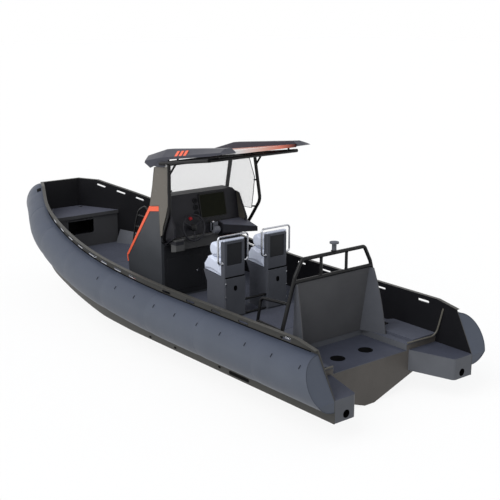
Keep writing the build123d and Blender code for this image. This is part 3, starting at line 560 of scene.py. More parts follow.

# Inner faces of the side plates and of the bow plate turn near-black: partly their dark inner paint, partly
# painted shade inside the hull.
for side, stem in sides:
    inward = (0, -side, 0)
    plate_paint = finish_material(
        "plate_paint_" + stem, plate_outer, 0.45, 300.0, 0.1, turned_to=[(inward, 0.2, 0.5, plate_inner_dark_and_shade)]
    )
    dress(plate_paint, "side_plate_" + stem)
bow_paint = finish_material(
    "bow_paint", plate_outer, 0.45, 300.0, 0.1, turned_to=[(to_stern, 0.2, 0.5, plate_inner_dark_and_shade)]
)
dress(bow_paint, "bow_plate")
# Faces of the bow locker that look up take a lighter bluish grey: painted light on its top.
locker_paint = finish_material("locker_paint", locker_grey, 0.5, 250.0, 0.1, turned_to=painted_top_tint(locker_top_light_grey))
dress(hull_paint, "hull")
dress(locker_paint, "bow_locker", "bow_seat")
dress(deck_grip, "deck", "side_deck")
dress(step_paint, "stern_step", "engine_well", "tow_post")
# Faces of the splash shield turned to port or starboard, its wings, take a lighter grey: painted light on the
# wings.
wing_light_facings = [(direction, 0.6, 0.95, shield_wing_light_grey) for direction in (to_port, to_starboard)]
shield_paint = finish_material("shield_paint", shield_grey, 0.45, 250.0, 0.1, turned_to=wing_light_facings)
dress(shield_paint, "splash_shield")
dress(console_paint, "console_body")
dress(dash_panel, "dash", "gauges", "steering_wheel")
dress(pod_paint, "seat_pod")
dress(door_paint, "seat_door")
dress(
    tube_coat,
    "roll_bar", "side_hoop", "windscreen_posts", "roof_leg", "roof_rails", "foot_rail", "console_handrail",
)
dress(stainless, "seat_rail")
dress(orange_paint, "console_trim")
dress(display_glass, "screen")
dress(roof_paint, "roof_fairing")
dress(pane_glass, "windscreen_front", "windscreen_side_starboard")
dress(smoke_glass, "windscreen_side_port")

# Roof panel: white gloss that turns to salmon towards the starboard after corner
roof_gloss = finish_material("roof_gloss", roof_white, 0.2, 200.0, 0.01, 0.02)
roof_tree = roof_gloss.node_tree
roof_shader = roof_tree.nodes["Principled BSDF"]
spread = roof_tree.nodes.new("ShaderNodeVectorMath")
spread.operation = "DOT_PRODUCT"
spread.inputs[1].default_value = (-0.35, -1.0, 0)
roof_tree.links.new(texture_coordinates(roof_tree), spread.inputs[0])
roof_span = roof_tree.nodes.new("ShaderNodeMapRange")
roof_span.inputs["From Min"].default_value = 0.1
roof_span.inputs["From Max"].default_value = 1.15
roof_tree.links.new(spread.outputs["Value"], roof_span.inputs["Value"])
roof_tint = ramp(
    roof_tree,
    roof_span.outputs["Result"],
    [
        (0.0, linear(roof_white)),
        (0.45, linear(roof_blush)),
        (0.75, linear(roof_salmon)),
        (1.0, linear(roof_ember)),
    ],
)
roof_tree.links.new(roof_tint, roof_shader.inputs["Base Color"])
dress(roof_gloss, "roof_panel")


# Collar: inflated D-section tube, drawn in slightly at its welded seams
def swell_at(x):
    """How far the skin stands out at a place along the boat, drawn in at each seam."""
    return -sum(seam_pull * exp(-(((x - seam) / seam_spread) ** 2)) for seam in seam_places)


def crown_rise(x, angle):
    """How much the tube's upper half rises towards the bow."""
    share = min(max((x - bow_rise_start) / (bow_rise_end - bow_rise_start), 0), 1)
    return bow_rise * share * share * (3 - 2 * share) * max(sin(angle), 0) ** 1.5


def collar_point(x, angle, swell):
    """Point on the collar's skin at a place along the side line and an angle above its middle."""
    y, heading = side_at(x)
    out = plate_gauge + (tube_radius + swell) * cos(angle)
    height = lip_at(x)[0] - tube_drop + (tube_radius + swell) * sin(angle) + crown_rise(x, angle)
    return Vector((x - sin(heading) * out, y + cos(heading) * out, height))


def tail_start(height):
    """How far forward of the stern the slanted tail starts at a height."""
    share = (height - tail_break) / (tail_top - tail_break)
    return tail_run * min(max(share, 0), 1)


tail_angle = asin((tail_break - sheer_level + tube_drop) / tube_radius)
collar_angles = [radians(90 - 6 * step) for step in range(31)] + [tail_angle]
collar_angles.sort(reverse=True)
station_count = 150
corner_heading = side_at(bow_corner)[1]
corner_share = cos(corner_heading) / (1 - sin(corner_heading))
skirt = plate_gauge + 0.0005


def collar_rings():
    """Rings of the port tube from the stern to the bow corner, each with the flat back against the plate."""
    rings = []
    for station in range(station_count + 1):
        x = stern_end + (bow_corner - stern_end) * station / station_count
        tail_weight = max(0, 1 - (x - stern_end) / end_run)
        bow_weight = max(0, 1 - (bow_corner - x) / end_run)
        ring = []
        for angle in collar_angles:
            swell = swell_at(x)
            height = collar_point(x, angle, swell).z
            out = plate_gauge + tube_radius * cos(angle)
            shift = tail_weight * tail_start(height)
            shift += bow_weight * (out * corner_share - 0.002) * cos(corner_heading)
            ring.append((x + shift, angle, swell))
        outer = [collar_point(*place) for place in ring]
        back = []
        for (place, angle, swell), point in zip(ring[-2:0:-1], outer[-2:0:-1]):
            y, heading = side_at(place)
            back.append(Vector((place - sin(heading) * skirt, y + cos(heading) * skirt, point.z)))
        rings.append(outer + back)
    return rings


def ladder_cap(form, layer, outer_count):
    """Faces across an end ring, from its outer points to the points behind them."""
    total = len(layer)
    for index in range(outer_count - 1):
        near = layer[-index % total]
        far = layer[total - index - 1]
        corners = [layer[index], layer[index + 1], far, near]
        form.faces.new([corner for place, corner in enumerate(corners) if corner not in corners[:place]])


base_rings = collar_rings()
for side, stem in sides:
    form = bmesh.new()
    layers = skin(form, [flipped(ring, side) for ring in base_rings])
    ladder_cap(form, layers[0], len(collar_angles))
    ladder_cap(form, layers[-1], len(collar_angles))
    collar_skin = finish_piece("collar_skin_" + stem, form, collar_coat)
    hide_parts("collar_" + stem)

form = bmesh.new()
rings = []
across_count = 16
bow_middle = sheer_level + sheer_rise - tube_drop
for station in range(across_count + 1):
    share = 2 * station / across_count - 1
    ring = []
    for angle in collar_angles:
        out = plate_gauge + tube_radius * cos(angle)
        reach = bow_corner_half + out * corner_share - 0.0005
        height = bow_middle + tube_radius * sin(angle) + crown_rise(bow_corner, angle)
        ring.append(Vector((bow_corner + out, share * reach, height)))
    back_y = share * (bow_corner_half + skirt * corner_share)
    back = [Vector((bow_corner + skirt, back_y, point.z)) for point in ring[-2:0:-1]]
    rings.append(ring + back)
layers = skin(form, rings)
ladder_cap(form, layers[0], len(collar_angles))
ladder_cap(form, layers[-1], len(collar_angles))
collar_nose = finish_piece("collar_skin_bow", form, collar_coat)
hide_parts("collar_bow")


def collar_patch(form, x_low, x_high, angle_low, angle_high, lift, side, steps=8):
    """Patch on the collar's skin with its edges turned down into it."""
    spans = ((x_low, 0.0), (x_low + patch_edge, lift), (x_high - patch_edge, lift), (x_high, 0.0))
    rings = []
    for x, rise in spans:
        ring = []
        for step in range(steps + 1):
            angle = angle_low + (angle_high - angle_low) * step / steps
            edge = 0 if step in (0, steps) else 1
            swell = swell_at(x) + (rise * edge if rise else -0.001)
            ring.append(collar_point(x, angle, swell))
        rings.append(flipped(ring, side))
    skin(form, rings, closed=False)


# Collar details: seam tapes, tabs with loops, a pad at the bow, a bead and a tail welt
bead_aft = -4.05
bead_fore = 3.7
bead_count = 80
bead_reach = plate_gauge + 0.006
for side, stem in sides:
    form = bmesh.new()
    for seam in seam_places:
        collar_patch(form, seam - seam_half, seam + seam_half, radians(-88), radians(88), 0.0016, side, 40)
    finish_piece("collar_seam_tape_" + stem, form, collar_coat)
    pads = bmesh.new()
    loops = bmesh.new()
    for index in range(tab_count):
        x = tab_first + tab_pitch * index
        collar_patch(pads, x - 0.022, x + 0.022, tab_low - 0.05, tab_high + 0.05, 0.002, side, 10)
        collar_patch(loops, x - 0.008, x + 0.008, tab_low, tab_high, 0.008, side, 10)
    finish_piece("collar_tab_pads_" + stem, pads, collar_coat)
    finish_piece("collar_tab_loops_" + stem, loops, loop_coat)
    form = bmesh.new()
    collar_patch(form, 3.83, 3.93, radians(66), radians(80), 0.006, side, 8)
    finish_piece("collar_bow_pad_" + stem, form, rubber_and_shade)
    # Dark bead where the collar meets the plate
    bead = []
    for station in range(bead_count + 1):
        x = bead_aft + (bead_fore - bead_aft) * station / bead_count
        y, heading = side_at(x)
        crown = lip_at(x)[0] - tube_drop + tube_radius
        bead.append((x - sin(heading) * bead_reach, side * (y + cos(heading) * bead_reach), crown + 0.004))
    swept_piece("collar_bead_" + stem, bead, circle(0.0065, 8), upward, rubber_and_shade)
    # Welt around the slanted tail
    tail_ring = flipped(base_rings[0][: len(collar_angles)], side)
    welt = [Vector(point) + Vector((-0.001, 0, 0)) for point in tail_ring]
    swept_piece("collar_tail_welt_" + stem, welt, circle(0.004, 8), to_bow, patch_coat)

# Bright liners in the forward grip slots, dark ones aft, from rows of first place, pitch and count
slot_rows = ((-0.3097, 0.39605, 11), (-2.8249, 0.55536, 4))
slot_drop = 0.076
for side, stem in sides:
    for row, (start, pitch, count) in enumerate(slot_rows):
        form = bmesh.new()
        for index in range(count):
            x = start + pitch * index
            lip, slope = lip_at(x)
            matrix, outward = plate_frame(x, side, lip - slot_drop, -plate_gauge / 2, slope)
            ring = carried(matrix, rounded_outline(0.186, 0.030, 0.0149, 6))
            swept(form, ring, bar_section(0.0015, 0.007), outward, True)
        material = stainless if row == 0 else tube_coat
        finish_piece(f"slot_liners_{stem}_{row}", form, material)

# Scuppers and drains low on the side plates, from rows of place along, width, height and level: flat black
# pads whose black is painted shade of the openings
outlets = (
    (-2.74, 0.40, 0.046, 0.045),
    (-0.74, 0.05, 0.03, 0.03),
    (-1.35, 0.05, 0.03, 0.04),
    (-2.34, 0.05, 0.03, 0.055),
)
for side, stem in sides:
    slabs = []
    for x, width, height, level in outlets:
        matrix = plate_frame(x, side, level, 0.0005)[0]
        slabs.append((rounded_outline(width, height, height / 2 - 0.001), 0.004, matrix, 0.0015))
    slab_piece("hull_outlets_" + stem, slabs, rubber_and_shade)

# Folding cleats on the plates above the collar, from pairs of place along and drop below the lip
cleat_places = ((-3.66, 0.05), (0.75, 0.076))
cleat_arm = ((-0.035, 0, 0.003), (-0.03, 0, 0.02), (0.03, 0, 0.02), (0.035, 0, 0.003))
for side, stem in sides:
    form = bmesh.new()
    for x, drop in cleat_places:
        matrix = plate_frame(x, side, lip_at(x)[0] - drop, 0.0003)[0]
        slab(form, rounded_outline(0.09, 0.026, 0.012), 0.004, matrix)
        path = [matrix @ Vector(point) for point in cleat_arm]
        swept(form, rounded_path(path, 0.01), circle(0.005, 8))
    finish_piece("plate_cleats_" + stem, form, stainless)

# Non-skid mats on the deck
mat_top = Matrix.Translation((0, 0, deck_level + 0.0002))
mat_thickness = 0.003
mat_margin = 0.09


def mat_edge(x):
    """Half width of the fore deck's mats at a place along the boat."""
    return side_at(x)[0] - mat_margin


mats = [
    [(aft, low), (fore, low), (fore, high), (aft, high)]
    for aft, fore, low, high in (
        (-2.42, -1.66, -1.1, 1.1),
        (-1.04, -0.36, -1.1, 1.1),
        (-0.32, 0.6, 0.79, 1.12),
        (-0.32, 0.6, -1.12, -0.79),
        (-1.58, -1.1, 0.62, 1.1),
        (-1.58, -1.1, -1.1, -0.62),
    )
]
mats += [
    [(aft, -mat_edge(aft)), (fore, -mat_edge(fore)), (fore, mat_edge(fore)), (aft, mat_edge(aft))]
    for aft, fore in ((0.74, 1.95), (2.0, 3.22))
]
slabs = [(outline, mat_thickness, mat_top, mat_thickness / 2) for outline in mats]
slab_piece("deck_mats", slabs, mat_grip)

# Upstand rods behind the side decks, up the wall to the cap
rod = [(-3.845, 0.66, 0.378), (-3.87, 1.12, 0.378), (-3.885, 1.178, 0.44), (-3.96, 1.188, 0.76)]
for side, stem in sides:
    path = rounded_path(flipped(rod, side), 0.05)
    swept_piece("stern_rods_" + stem, path, circle(0.012), to_bow, cheek_paint)

# Hose boots in the well, sleeves in the step holes; the black disc that closes each boot and the black floor
# of each sleeve are painted shade in the holes
boot = [(0.0885, 0), (0.0885, 0.0056), (0.096, 0.0058), (0.096, 0.0095), (0.082, 0.0095), (0.07, 0.002)]
boot_places = [(along_hull(0.1066), side * 0.246, 0.2745) for side, stem in sides]
turned_piece("hose_boots", boot, boot_places, upward, 36, rubber_and_shade)
sleeve = [(0.0495, 0.2), (0.0495, 0.0), (0.0495, 0.0), (0.0475, 0.0), (0.0455, 0.06), (0.02, 0.07)]
for side, stem in sides:
    place = (stern_end, side * 1.0163, 0.076)
    turned_piece("step_sleeves_" + stem, sleeve, [place], to_bow, 32, rubber_and_shade)

# Seats: padded cushions, blown up by a short cloth run
seat_aft = -1.57975
seat_inner = 0.2
seat_outer = 0.565
seat_front = -1.50635
side_swell = 0.004
cloth_steps = 20
cloth_pressure = 4
bolster_radius = 0.101
roll_radius = 0.013
roll_half = 0.0185
pad_outline = [
    (-1.5045, 1.204), (-1.5045, 0.962), (-1.108, 0.996), (-1.104, 1.074), (-1.19, 1.198), (-1.26, 1.222),
]
bolster_outline = [(-1.5045, 1.235), (-1.5045, 1.402)]
for turn in range(0, 181, 15):
    angle = radians(turn)
    bolster_outline.append((-1.343 + bolster_radius * sin(angle), 1.321 + bolster_radius * cos(angle)))
roll_outline = []
for turn in range(20, 380, 20):
    angle = radians(turn)
    middle = -1.543 + (roll_half if 0 < turn < 180 else -roll_half)
    roll_outline.append((middle + roll_radius * sin(angle), 1.4695 + roll_radius * cos(angle)))


def filled(name, outline, width_inset, voxel, swell, rest_low, rest_slope=0, rest_aft=seat_front):
    """Cushion mesh from a side outline, remeshed, blown up and held within a small swell.

    It rests on a plane of one height at the seat's front line and one slope, and against a face aft of it.
    """
    form = bmesh.new()
    rings = []
    low = seat_inner + width_inset
    high = seat_outer - width_inset
    middle = Vector((sum(x for x, z in outline) / len(outline), sum(z for x, z in outline) / len(outline)))
    for y, amount in ((low, 0.006), (low + 0.006, 0), (high - 0.006, 0), (high, 0.006)):
        ring = []
        for corner in outline:
            pulled = Vector(corner) + (middle - Vector(corner)).normalized() * amount
            ring.append(Vector((pulled.x, y, pulled.y)))
        rings.append(ring)
    capped(form, rings)
    bmesh.ops.recalc_face_normals(form, faces=form.faces)
    mesh = bpy.data.meshes.new(name)
    form.to_mesh(mesh)
    form.free()
    body = linked(name, mesh)
    remesh = body.modifiers.new("remesh", "REMESH")
    remesh.mode = "VOXEL"
    remesh.voxel_size = voxel
    start = baked(body)
    before = [vertex.co.copy() for vertex in start.vertices]
    cloth = body.modifiers.new("cloth", "CLOTH")
    cloth.settings.use_pressure = True
    cloth.settings.uniform_pressure_force = cloth_pressure
    cloth.settings.effector_weights.gravity = 0
    for step in range(1, cloth_steps + 1):
        scene.frame_set(step)
    after = baked(body)
    for vertex, origin in zip(after.vertices, before):
        move = vertex.co - origin
        if move.length > swell:
            move *= swell / move.length
        vertex.co = origin + move
    scene.frame_set(1)
    smoother = body.modifiers.new("smoother", "SUBSURF")
    smoother.levels = 1
    smoother.render_levels = 1
    final = baked(body)
    for vertex in final.vertices:
        vertex.co.x = max(vertex.co.x, rest_aft)
        vertex.co.z = max(vertex.co.z, rest_low + rest_slope * (vertex.co.x - seat_front))
        vertex.co.y = min(max(vertex.co.y, seat_inner - side_swell), seat_outer + side_swell)
    bpy.data.objects.remove(body)
    return final


def baked(body):
    """Mesh of an object with its modifiers applied, left as its only mesh."""
    graph = bpy.context.evaluated_depsgraph_get()
    graph.update()
    mesh = bpy.data.meshes.new_from_object(body.evaluated_get(graph))
    body.modifiers.clear()
    body.data = mesh
    return mesh


pad = filled("pad", pad_outline, 0.005, 0.006, 0.011, rest_low=0.9558, rest_slope=0.0865)
bolster = filled("bolster", bolster_outline, 0.005, 0.006, 0.009, rest_low=1.2015)
roll = filled("roll", roll_outline, 0.004, 0.005, 0.004, rest_low=1.4506, rest_aft=seat_aft + 0.001)
cushions = (("seat_pad", pad), ("seat_bolster", bolster), ("seat_roll", roll))
for side, stem in sides:
    for name, source in cushions:
        mesh = source.copy()
        mesh.name = f"{name}_{stem}"
        if side < 0:
            mesh.transform(Matrix.Scale(-1, 4, (0, 1, 0)))
            mesh.flip_normals()
        mesh.shade_smooth()
        mesh.materials.clear()
        mesh.materials.append(vinyl)
        cushion = linked(f"{name}_{stem}", mesh)
        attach(cushion, "boat")
        if name == "seat_pad":
            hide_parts("seat_cushion_" + stem)
    # Welts along the cushions' side seams, laid on the filled surface
    form = bmesh.new()
    for (name, source), outline in zip(cushions[:2], (pad_outline, bolster_outline)):
        corners = [vertex.co for vertex in source.vertices]
        surface = BVHTree.FromPolygons(corners, [polygon.vertices for polygon in source.polygons])
        for y in (seat_inner + 0.012, seat_outer - 0.012):
            loop = [Vector((x, y, z)) for x, z in outline]
            path = rounded_path(loop + [loop[0]], 0.03, 5)[:-1]
            laid = [surface.find_nearest(point)[0] for point in path]
            swept(form, flipped(laid, side), circle(0.0022, 8), up=to_port, closed=True)
    finish_piece("seat_welts_" + stem, form, vinyl)

# Seat backs: recess panel, gap strip, feet, oval door latch, door hinges and rail flanges
door_face = seat_aft - 0.0146
door_hinge = [(0.005, -0.03), (0.006, -0.028), (0.006, 0.028), (0.005, 0.03)]
rail_flange = [(0.024, 0), (0.024, 0.003), (0.015, 0.006)]
foot = rounded_outline(0.07, 0.028, 0.008)
for side, stem in sides:
    middle = side * 0.3825
    door_body = "seat_door_" + stem + "_body"
    recess_frame = aft_frame(seat_aft + 0.0138, middle, 1.2705)
    recess = (rounded_outline(0.256, 0.303, 0.012), 0.004, recess_frame, 0.002)
    slab_piece("seat_recess_panel_" + stem, [recess], panel_paint)
    strip_frame = aft_frame(seat_aft - 0.0003, middle, 0.9475)
    strip = (rounded_outline(0.335, 0.02, 0.006), 0.004, strip_frame, 0.001)
    slab_piece("seat_gap_strip_" + stem, [strip], rubber_and_shade)
    feet = [
        (foot, 0.006, Matrix.Translation((x, side * y, deck_level + 0.0002)), 0.001)
        for x in (-1.56, -1.2)
        for y in (0.19, 0.575)
    ]
    slab_piece("seat_feet_" + stem, feet, pod_paint)
    # The near-black oval round the latch handle is painted shade of the latch's recess.
    latch_frame = place_frame((door_face, middle, 0.788), upward, to_stern)
    latch = [
        (rounded_outline(0.076, 0.054, 0.0265, 8), 0.003, latch_frame, 0.001),
        (rounded_outline(0.03, 0.01, 0.0045), 0.008, latch_frame, 0.001),
    ]
    slab_piece("seat_latch_" + stem, latch, rubber_and_shade, door_body)
    places = [(door_face + 0.001, side * 0.549, z) for z in (0.47, 0.66, 0.85)]
    turned_piece("seat_hinges_" + stem, door_hinge, places, upward, 14, stainless, door_body)
    form = bmesh.new()
    for y, outward in ((0.197, -1), (0.568, 1)):
        turned(form, rail_flange, (-1.54325, side * y, 1.15), (0, side * outward, 0), 20)
    finish_piece("seat_rail_flanges_" + stem, form, stainless)

# Console: foot panel, doors and their latches, low trim, flanks with wings, edge trim and a nose hatch
console_aft = -0.28035
foot_panel = (rounded_outline(1.36, 0.78, 0.02), 0.003, aft_frame(console_aft - 0.0003, 0, 0.78), 0.002)
slab_piece("console_foot_panel", [foot_panel], panel_paint)
door = rounded_outline(0.6, 0.5, 0.03)
doors = [(door, 0.006, aft_frame(console_aft - 0.0036, y, 0.72), 0.003) for y in (-0.34, 0.34)]
slab_piece("console_doors", doors, panel_paint)
latch = [(0.022, 0), (0.022, 0.003), (0.014, 0.004), (0.012, 0.008)]
places = [(console_aft - 0.0098, y, 0.72) for y in (-0.09, 0.09)]
turned_piece("console_door_latches", latch, places, to_stern, 24, stainless)
low_trim = [(0.6695, 0.7203, 0.876), (0.6500, 0.7203, 0.772)]
flank = [
    (-0.284, 0.402), (0.54, 0.402), (0.62, 0.88), (-0.002, 1.657), (-0.2495, 1.697), (-0.262, 1.50),
    (-0.276, 1.30),
]
wing = [
    (-0.03, 1.6815), (-0.04, 1.70), (-0.2495, 1.735), (-0.262, 1.50), (-0.276, 1.30), (-0.2785, 1.26),
    (-0.0534, 1.6815),
]
band = [
    (-0.2526, 1.7736), (0.004, 1.7326), (0.034, 1.692), (0.6704, 0.8805), (0.622, 0.8805), (-0.001, 1.6585),
    (-0.2495, 1.6985),
]
rim = [(-0.2495, 1.738), (-0.2526, 1.7736), (0.004, 1.7326), (0.012, 1.705)]
trim_section = bar_section(0.01, 0.007)
for side, stem in sides:
    path = flipped(low_trim, side)
    swept_piece("console_low_trim_" + stem, path, trim_section, to_port, orange_paint)
    panels = [(flank, 0.7204, 0.005), (wing, 0.6725, 0.0478)]
    panel_piece("console_flank_" + stem, panels, side, console_paint)
    panels = [(band, 0.7209, 0.0115), (rim, 0.6985, 0.0225)]
    trim = panel_piece("console_edge_trim_" + stem, panels, side, orange_paint)
    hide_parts("console_trim_" + stem)
nose_out = Vector((0.8, 0, 0.63991)).normalized()
hatch_frame = place_frame(Vector((0.35, 0, 1.28)) + nose_out * 0.0005, to_port, nose_out)
hatch = (rounded_outline(0.86, 0.62, 0.04), 0.01, hatch_frame, 0.004)
slab_piece("console_nose_hatch", [hatch], console_paint)

# Dash: screen bezel, gauge bezels and lenses, switches, stop button and cheek edges
dash_low = Vector((-0.39961, 0, 1.3))
dash_high = Vector((-0.26967, 0, 1.9))
dash_up = (dash_high - dash_low).normalized()
dash_out = Vector((-dash_up.z, 0, dash_up.x))
screen_middle = -0.18
screen_reach = 0.399
gauge_middle = 0.128
gauge_reaches = [screen_reach + 0.097 * step for step in (-1, 0, 1)]
switch_reach = 0.165
switch_pitch = 0.055


def on_dash(y, reach, lift=0.0003):
    """Frame on the dash's slanted face, X to starboard and Z out of the face."""
    place = dash_low + dash_up * reach + dash_out * lift + Vector((0, y, 0))
    return place_frame(place, to_starboard, dash_out)


bezel = carried(on_dash(screen_middle, screen_reach, 0.006), rounded_outline(0.468, 0.353, 0.022))
bezel_section = [(-0.009, -0.006), (0.009, -0.006), (0.007, 0.009), (-0.007, 0.009)]
swept_piece("screen_bezel", bezel, bezel_section, dash_out, tube_coat, True)
bezel = [(0.042, 0), (0.042, 0.012), (0.038, 0.017), (0.035, 0.0155), (0.035, 0.0125)]
places = [on_dash(gauge_middle, reach).translation for reach in gauge_reaches]
turned_piece("gauge_bezels", bezel, places, dash_out, 32, panel_paint)
lens = [(0.0335, 0), (0.0335, 0.0015), (0.02, 0.0032), (0.006, 0.004)]
places = [on_dash(gauge_middle, reach, 0.0124).translation for reach in gauge_reaches]
turned_piece("gauge_lenses", lens, places, dash_out, 32, dial_glass)
slabs = [(rounded_outline(0.36, 0.07, 0.01), 0.004, on_dash(screen_middle, switch_reach), 0.001)]
for index in range(6):
    switch = on_dash(screen_middle + switch_pitch * (index - 2.5), switch_reach, 0.004)
    slabs.append((rounded_outline(0.034, 0.044, 0.004), 0.008, switch, 0.002))
slab_piece("switch_panel", slabs, panel_paint)
button = [
    (0.026, 0), (0.026, 0.006), (0.018, 0.008), (0.018, 0.016), (0.024, 0.02), (0.022, 0.028), (0.01, 0.031),
]
places = [on_dash(0.255, 0.245).translation]
turned_piece("stop_button", button, places, dash_out, 28, red_plastic)
cheek_edge = [(-0.3565, 0.655, 1.812), (-0.5417, 0.655, 1.478)]
cheek_section = bar_section(0.0145, 0.002)
for side, stem in sides:
    path = flipped(cheek_edge, side)
    swept_piece("dash_cheek_edge_" + stem, path, cheek_section, upward, dash_panel)

# Throttle: drum on a foot plate with a cranked lever and a grip
form = bmesh.new()
drum = [(0.03, 0), (0.052, 0.008), (0.058, 0.03), (0.058, 0.08), (0.052, 0.102), (0.03, 0.11)]
turned(form, drum, (-0.468, -0.075, 1.345), to_starboard, 32)
slab(form, rounded_outline(0.12, 0.15, 0.02), 0.05, aft_frame(-0.4, -0.13, 1.385), 0.008)
throttle_body = finish_piece("throttle_body", form, lever_paint)
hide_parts("throttle")
arm = [(-0.468, -0.06, 1.345), (-0.478, -0.055, 1.42), (-0.49, -0.06, 1.47), (-0.49, -0.16, 1.482)]
arm_section = [(0.011 * across, 0.007 * above) for across, above in circle(1, 10)]
swept_piece("throttle_lever", rounded_path(arm, 0.03), arm_section, to_bow, tube_coat)
knob = [(0.012, 0), (0.019, 0.006), (0.02, 0.03), (0.016, 0.042), (0.008, 0.045)]
turned_piece("throttle_knob", knob, [(-0.49, -0.075, 1.473)], to_port, 24, stainless)

# Steering wheel: hub cap, turning with the wheel
cap = [(0.05, -0.012), (0.055, -0.004), (0.05, 0.01), (0.03, 0.016), (0.01, 0.018)]
wheel_place = (-0.46418, 0.27, 1.42705)
turned_piece("wheel_cap", cap, [wheel_place], dash_out, 32, tube_coat, "steering_wheel_body")

# Side panes: a tinted one round the console's port wing, a clear one to starboard, both with an edge strip
port_pane = [
    (-0.0209, 1.742), (-0.18, 2.3339), (-0.501, 2.3744), (-0.4852, 1.9955), (-0.5107, 1.9611),
    (-0.4931, 1.8284), (-0.4357, 1.659), (-0.3511, 1.468), (-0.3338, 1.3612), (-0.286, 1.325),
    (-0.2605, 1.70), (-0.262, 1.783),
]
starboard_pane = [
    (0.03, 1.785), (-0.089, 2.31), (-0.507, 2.3624), (-0.6315, 2.0892), (-0.596, 1.8267), (-0.5578, 1.61),
    (-0.285, 1.60), (-0.262, 1.785),
]
edge_section = bar_section(0.003, 0.0052)
for side, stem, outline, tint, edge_paint in (
    (1, "port", port_pane, smoke_glass, cheek_paint),
    (-1, "starboard", starboard_pane, pane_glass, patch_coat),
):
    pane = panel_piece("side_pane_" + stem, [(outline, 0.7334, 0.0068)], side, tint)
    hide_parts("windscreen_side_" + stem)
    ring = [(x, side * 0.7368, z) for x, z in outline]
    swept_piece("side_pane_edge_" + stem, ring, edge_section, to_port, edge_paint, True)

# Windscreen: seals along the sill and the head, and a cover on each post
form = bmesh.new()
sill = [(0.036, 0.66, 1.683), (0.036, -0.66, 1.683)]
swept(form, sill, [(-0.012, -0.002), (0.016, -0.002), (0.012, 0.01), (-0.008, 0.01)])
head = [(-0.083, 0.66, 2.312), (-0.083, -0.66, 2.312)]
swept(form, head, bar_section(0.012, 0.006))
finish_piece("windscreen_seals", form, tube_coat)
post_cover = [(0.046, 1.668), (-0.010, 1.668), (-0.138, 2.300), (-0.082, 2.300)]
for side, stem in sides:
    panels = [(post_cover, 0.667, 0.027)]
    panel_piece("windscreen_post_cover_" + stem, panels, side, post_paint)

# Hard top legs: bent tubes from the console to the roof, each with a brace and two glass standoffs
leg = [
    (-0.2812, 0.69, 1.245), (-0.325, 0.695, 1.252), (-0.385, 0.745, 1.30), (-0.45, 0.783, 1.405),
    (-0.657, 0.823, 1.74), (-0.5886, 0.770, 2.418),
]
brace = [(-0.6037, 0.782, 2.268), (-0.778, 0.770, 2.472)]
standoffs = (
    [(-0.600, 0.7425, 2.045), (-0.626, 0.80, 2.045)],
    [(-0.548, 0.7425, 1.635), (-0.594, 0.811, 1.635)],
)
leg_flange = [(0.03, 0), (0.03, 0.006), (0.025, 0.01)]
for side, stem in sides:
    form = bmesh.new()
    swept(form, rounded_path(flipped(leg, side), 0.07, 8), circle(0.025, 20), to_port)
    swept(form, flipped(brace, side), circle(0.015, 14), to_port)
    for standoff in standoffs:
        swept(form, flipped(standoff, side), circle(0.012, 14))
    turned(form, leg_flange, (-0.2806, side * 0.69, 1.2445), (-1, 0, 0.1), 20)
    leg_tube = finish_piece("hard_top_leg_" + stem, form, tube_coat)
    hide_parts("roof_leg_" + stem)

# Hard top: three orange stripes on each outer facet
roof_origin = Vector((-0.58918, 0, 2.499))
roof_turn = atan2(0.154, 1)
roof_along = Vector((cos(roof_turn), 0, -sin(roof_turn)))
roof_out = Vector((sin(roof_turn), 0, cos(roof_turn)))
stripe_starts = (0.0, -0.105, -0.21)
stripe_width = 0.062
stripe_lean = 0.012
stripe_low = 0.058
stripe_high = 0.150


def on_roof(along, y, height):
    """Point by its place along, across and above the roof panel."""
    return roof_origin + roof_along * along + roof_out * height + Vector((0, y, 0))


for side, stem in sides:
    crown = on_roof(-0.12, side * 0.65, 0.137)
    edge = on_roof(-0.12, side * 0.76, 0.030)
    down = (edge - crown).normalized()
    outward = roof_along.cross(down) * (1 if roof_along.cross(down).z > 0 else -1)
    facet = place_frame(crown + outward * 0.0004, roof_along, outward)
    across = facet.inverted().to_3x3() @ down
    slabs = []
    for start in stripe_starts:
        end = start - stripe_width
        corners = [(start, stripe_low), (end, stripe_low)]
        corners += [(end - stripe_lean, stripe_high), (start - stripe_lean, stripe_high)]
        outline = [(x, reach * across.y) for x, reach in corners]
        slabs.append((outline if across.y > 0 else outline[::-1], 0.003, facet, 0.001))
    slab_piece("roof_stripes_" + stem, slabs, orange_paint)

# Hard top brows: lower lips of the fairings over the side panes
brow = [
    (0.035, 2.400), (0.0206, 2.352), (-0.242, 2.352), (-0.434, 2.362), (-0.50, 2.415), (-0.56, 2.488),
    (-0.30, 2.455),
]
for side, stem in sides:
    panel_piece("roof_brow_" + stem, [(brow, 0.757, -0.006)], side, roof_paint)

# Roll bar: flanges with bolts at its feet and the hoops' feet, and weld rings at the joints
bar_x = along_hull(0.1474)
bar_foot_half = 0.9408
bolt_offsets = (-0.04, 0.04)
bolt = [(0.009, 0), (0.009, 0.006), (0.006, 0.008)]
form = bmesh.new()
for side, stem in sides:
    bar_foot = Matrix.Translation((bar_x, side * bar_foot_half, 0.4003))
    slab(form, rounded_outline(0.12, 0.12, 0.02), 0.008, bar_foot)
    hoop_foot = Matrix.Translation((bar_x + 0.518, side * 0.8842, 0.3603))
    slab(form, rounded_outline(0.09, 0.09, 0.015), 0.006, hoop_foot)
    for x in bolt_offsets:
        for y in bolt_offsets:
            turned(form, bolt, (bar_x + x, side * bar_foot_half + y, 0.4083), upward, 8)
finish_piece("bar_flanges", form, tube_coat)
form = bmesh.new()
for y in (0.22, -0.22):
    for level, lift in ((1.289, 0.002), (1.507, 0.005)):
        turned(form, [(0.0205, 0), (0.025, lift), (0.0205, 0.007)], (bar_x, y, level), upward, 20)
turned(form, [(0.0305, 0), (0.042, 0.001), (0.040, 0.008), (0.0305, 0.012)], (bar_x, 0, 1.5615), upward, 24)
finish_piece("bar_welds", form, tube_coat)
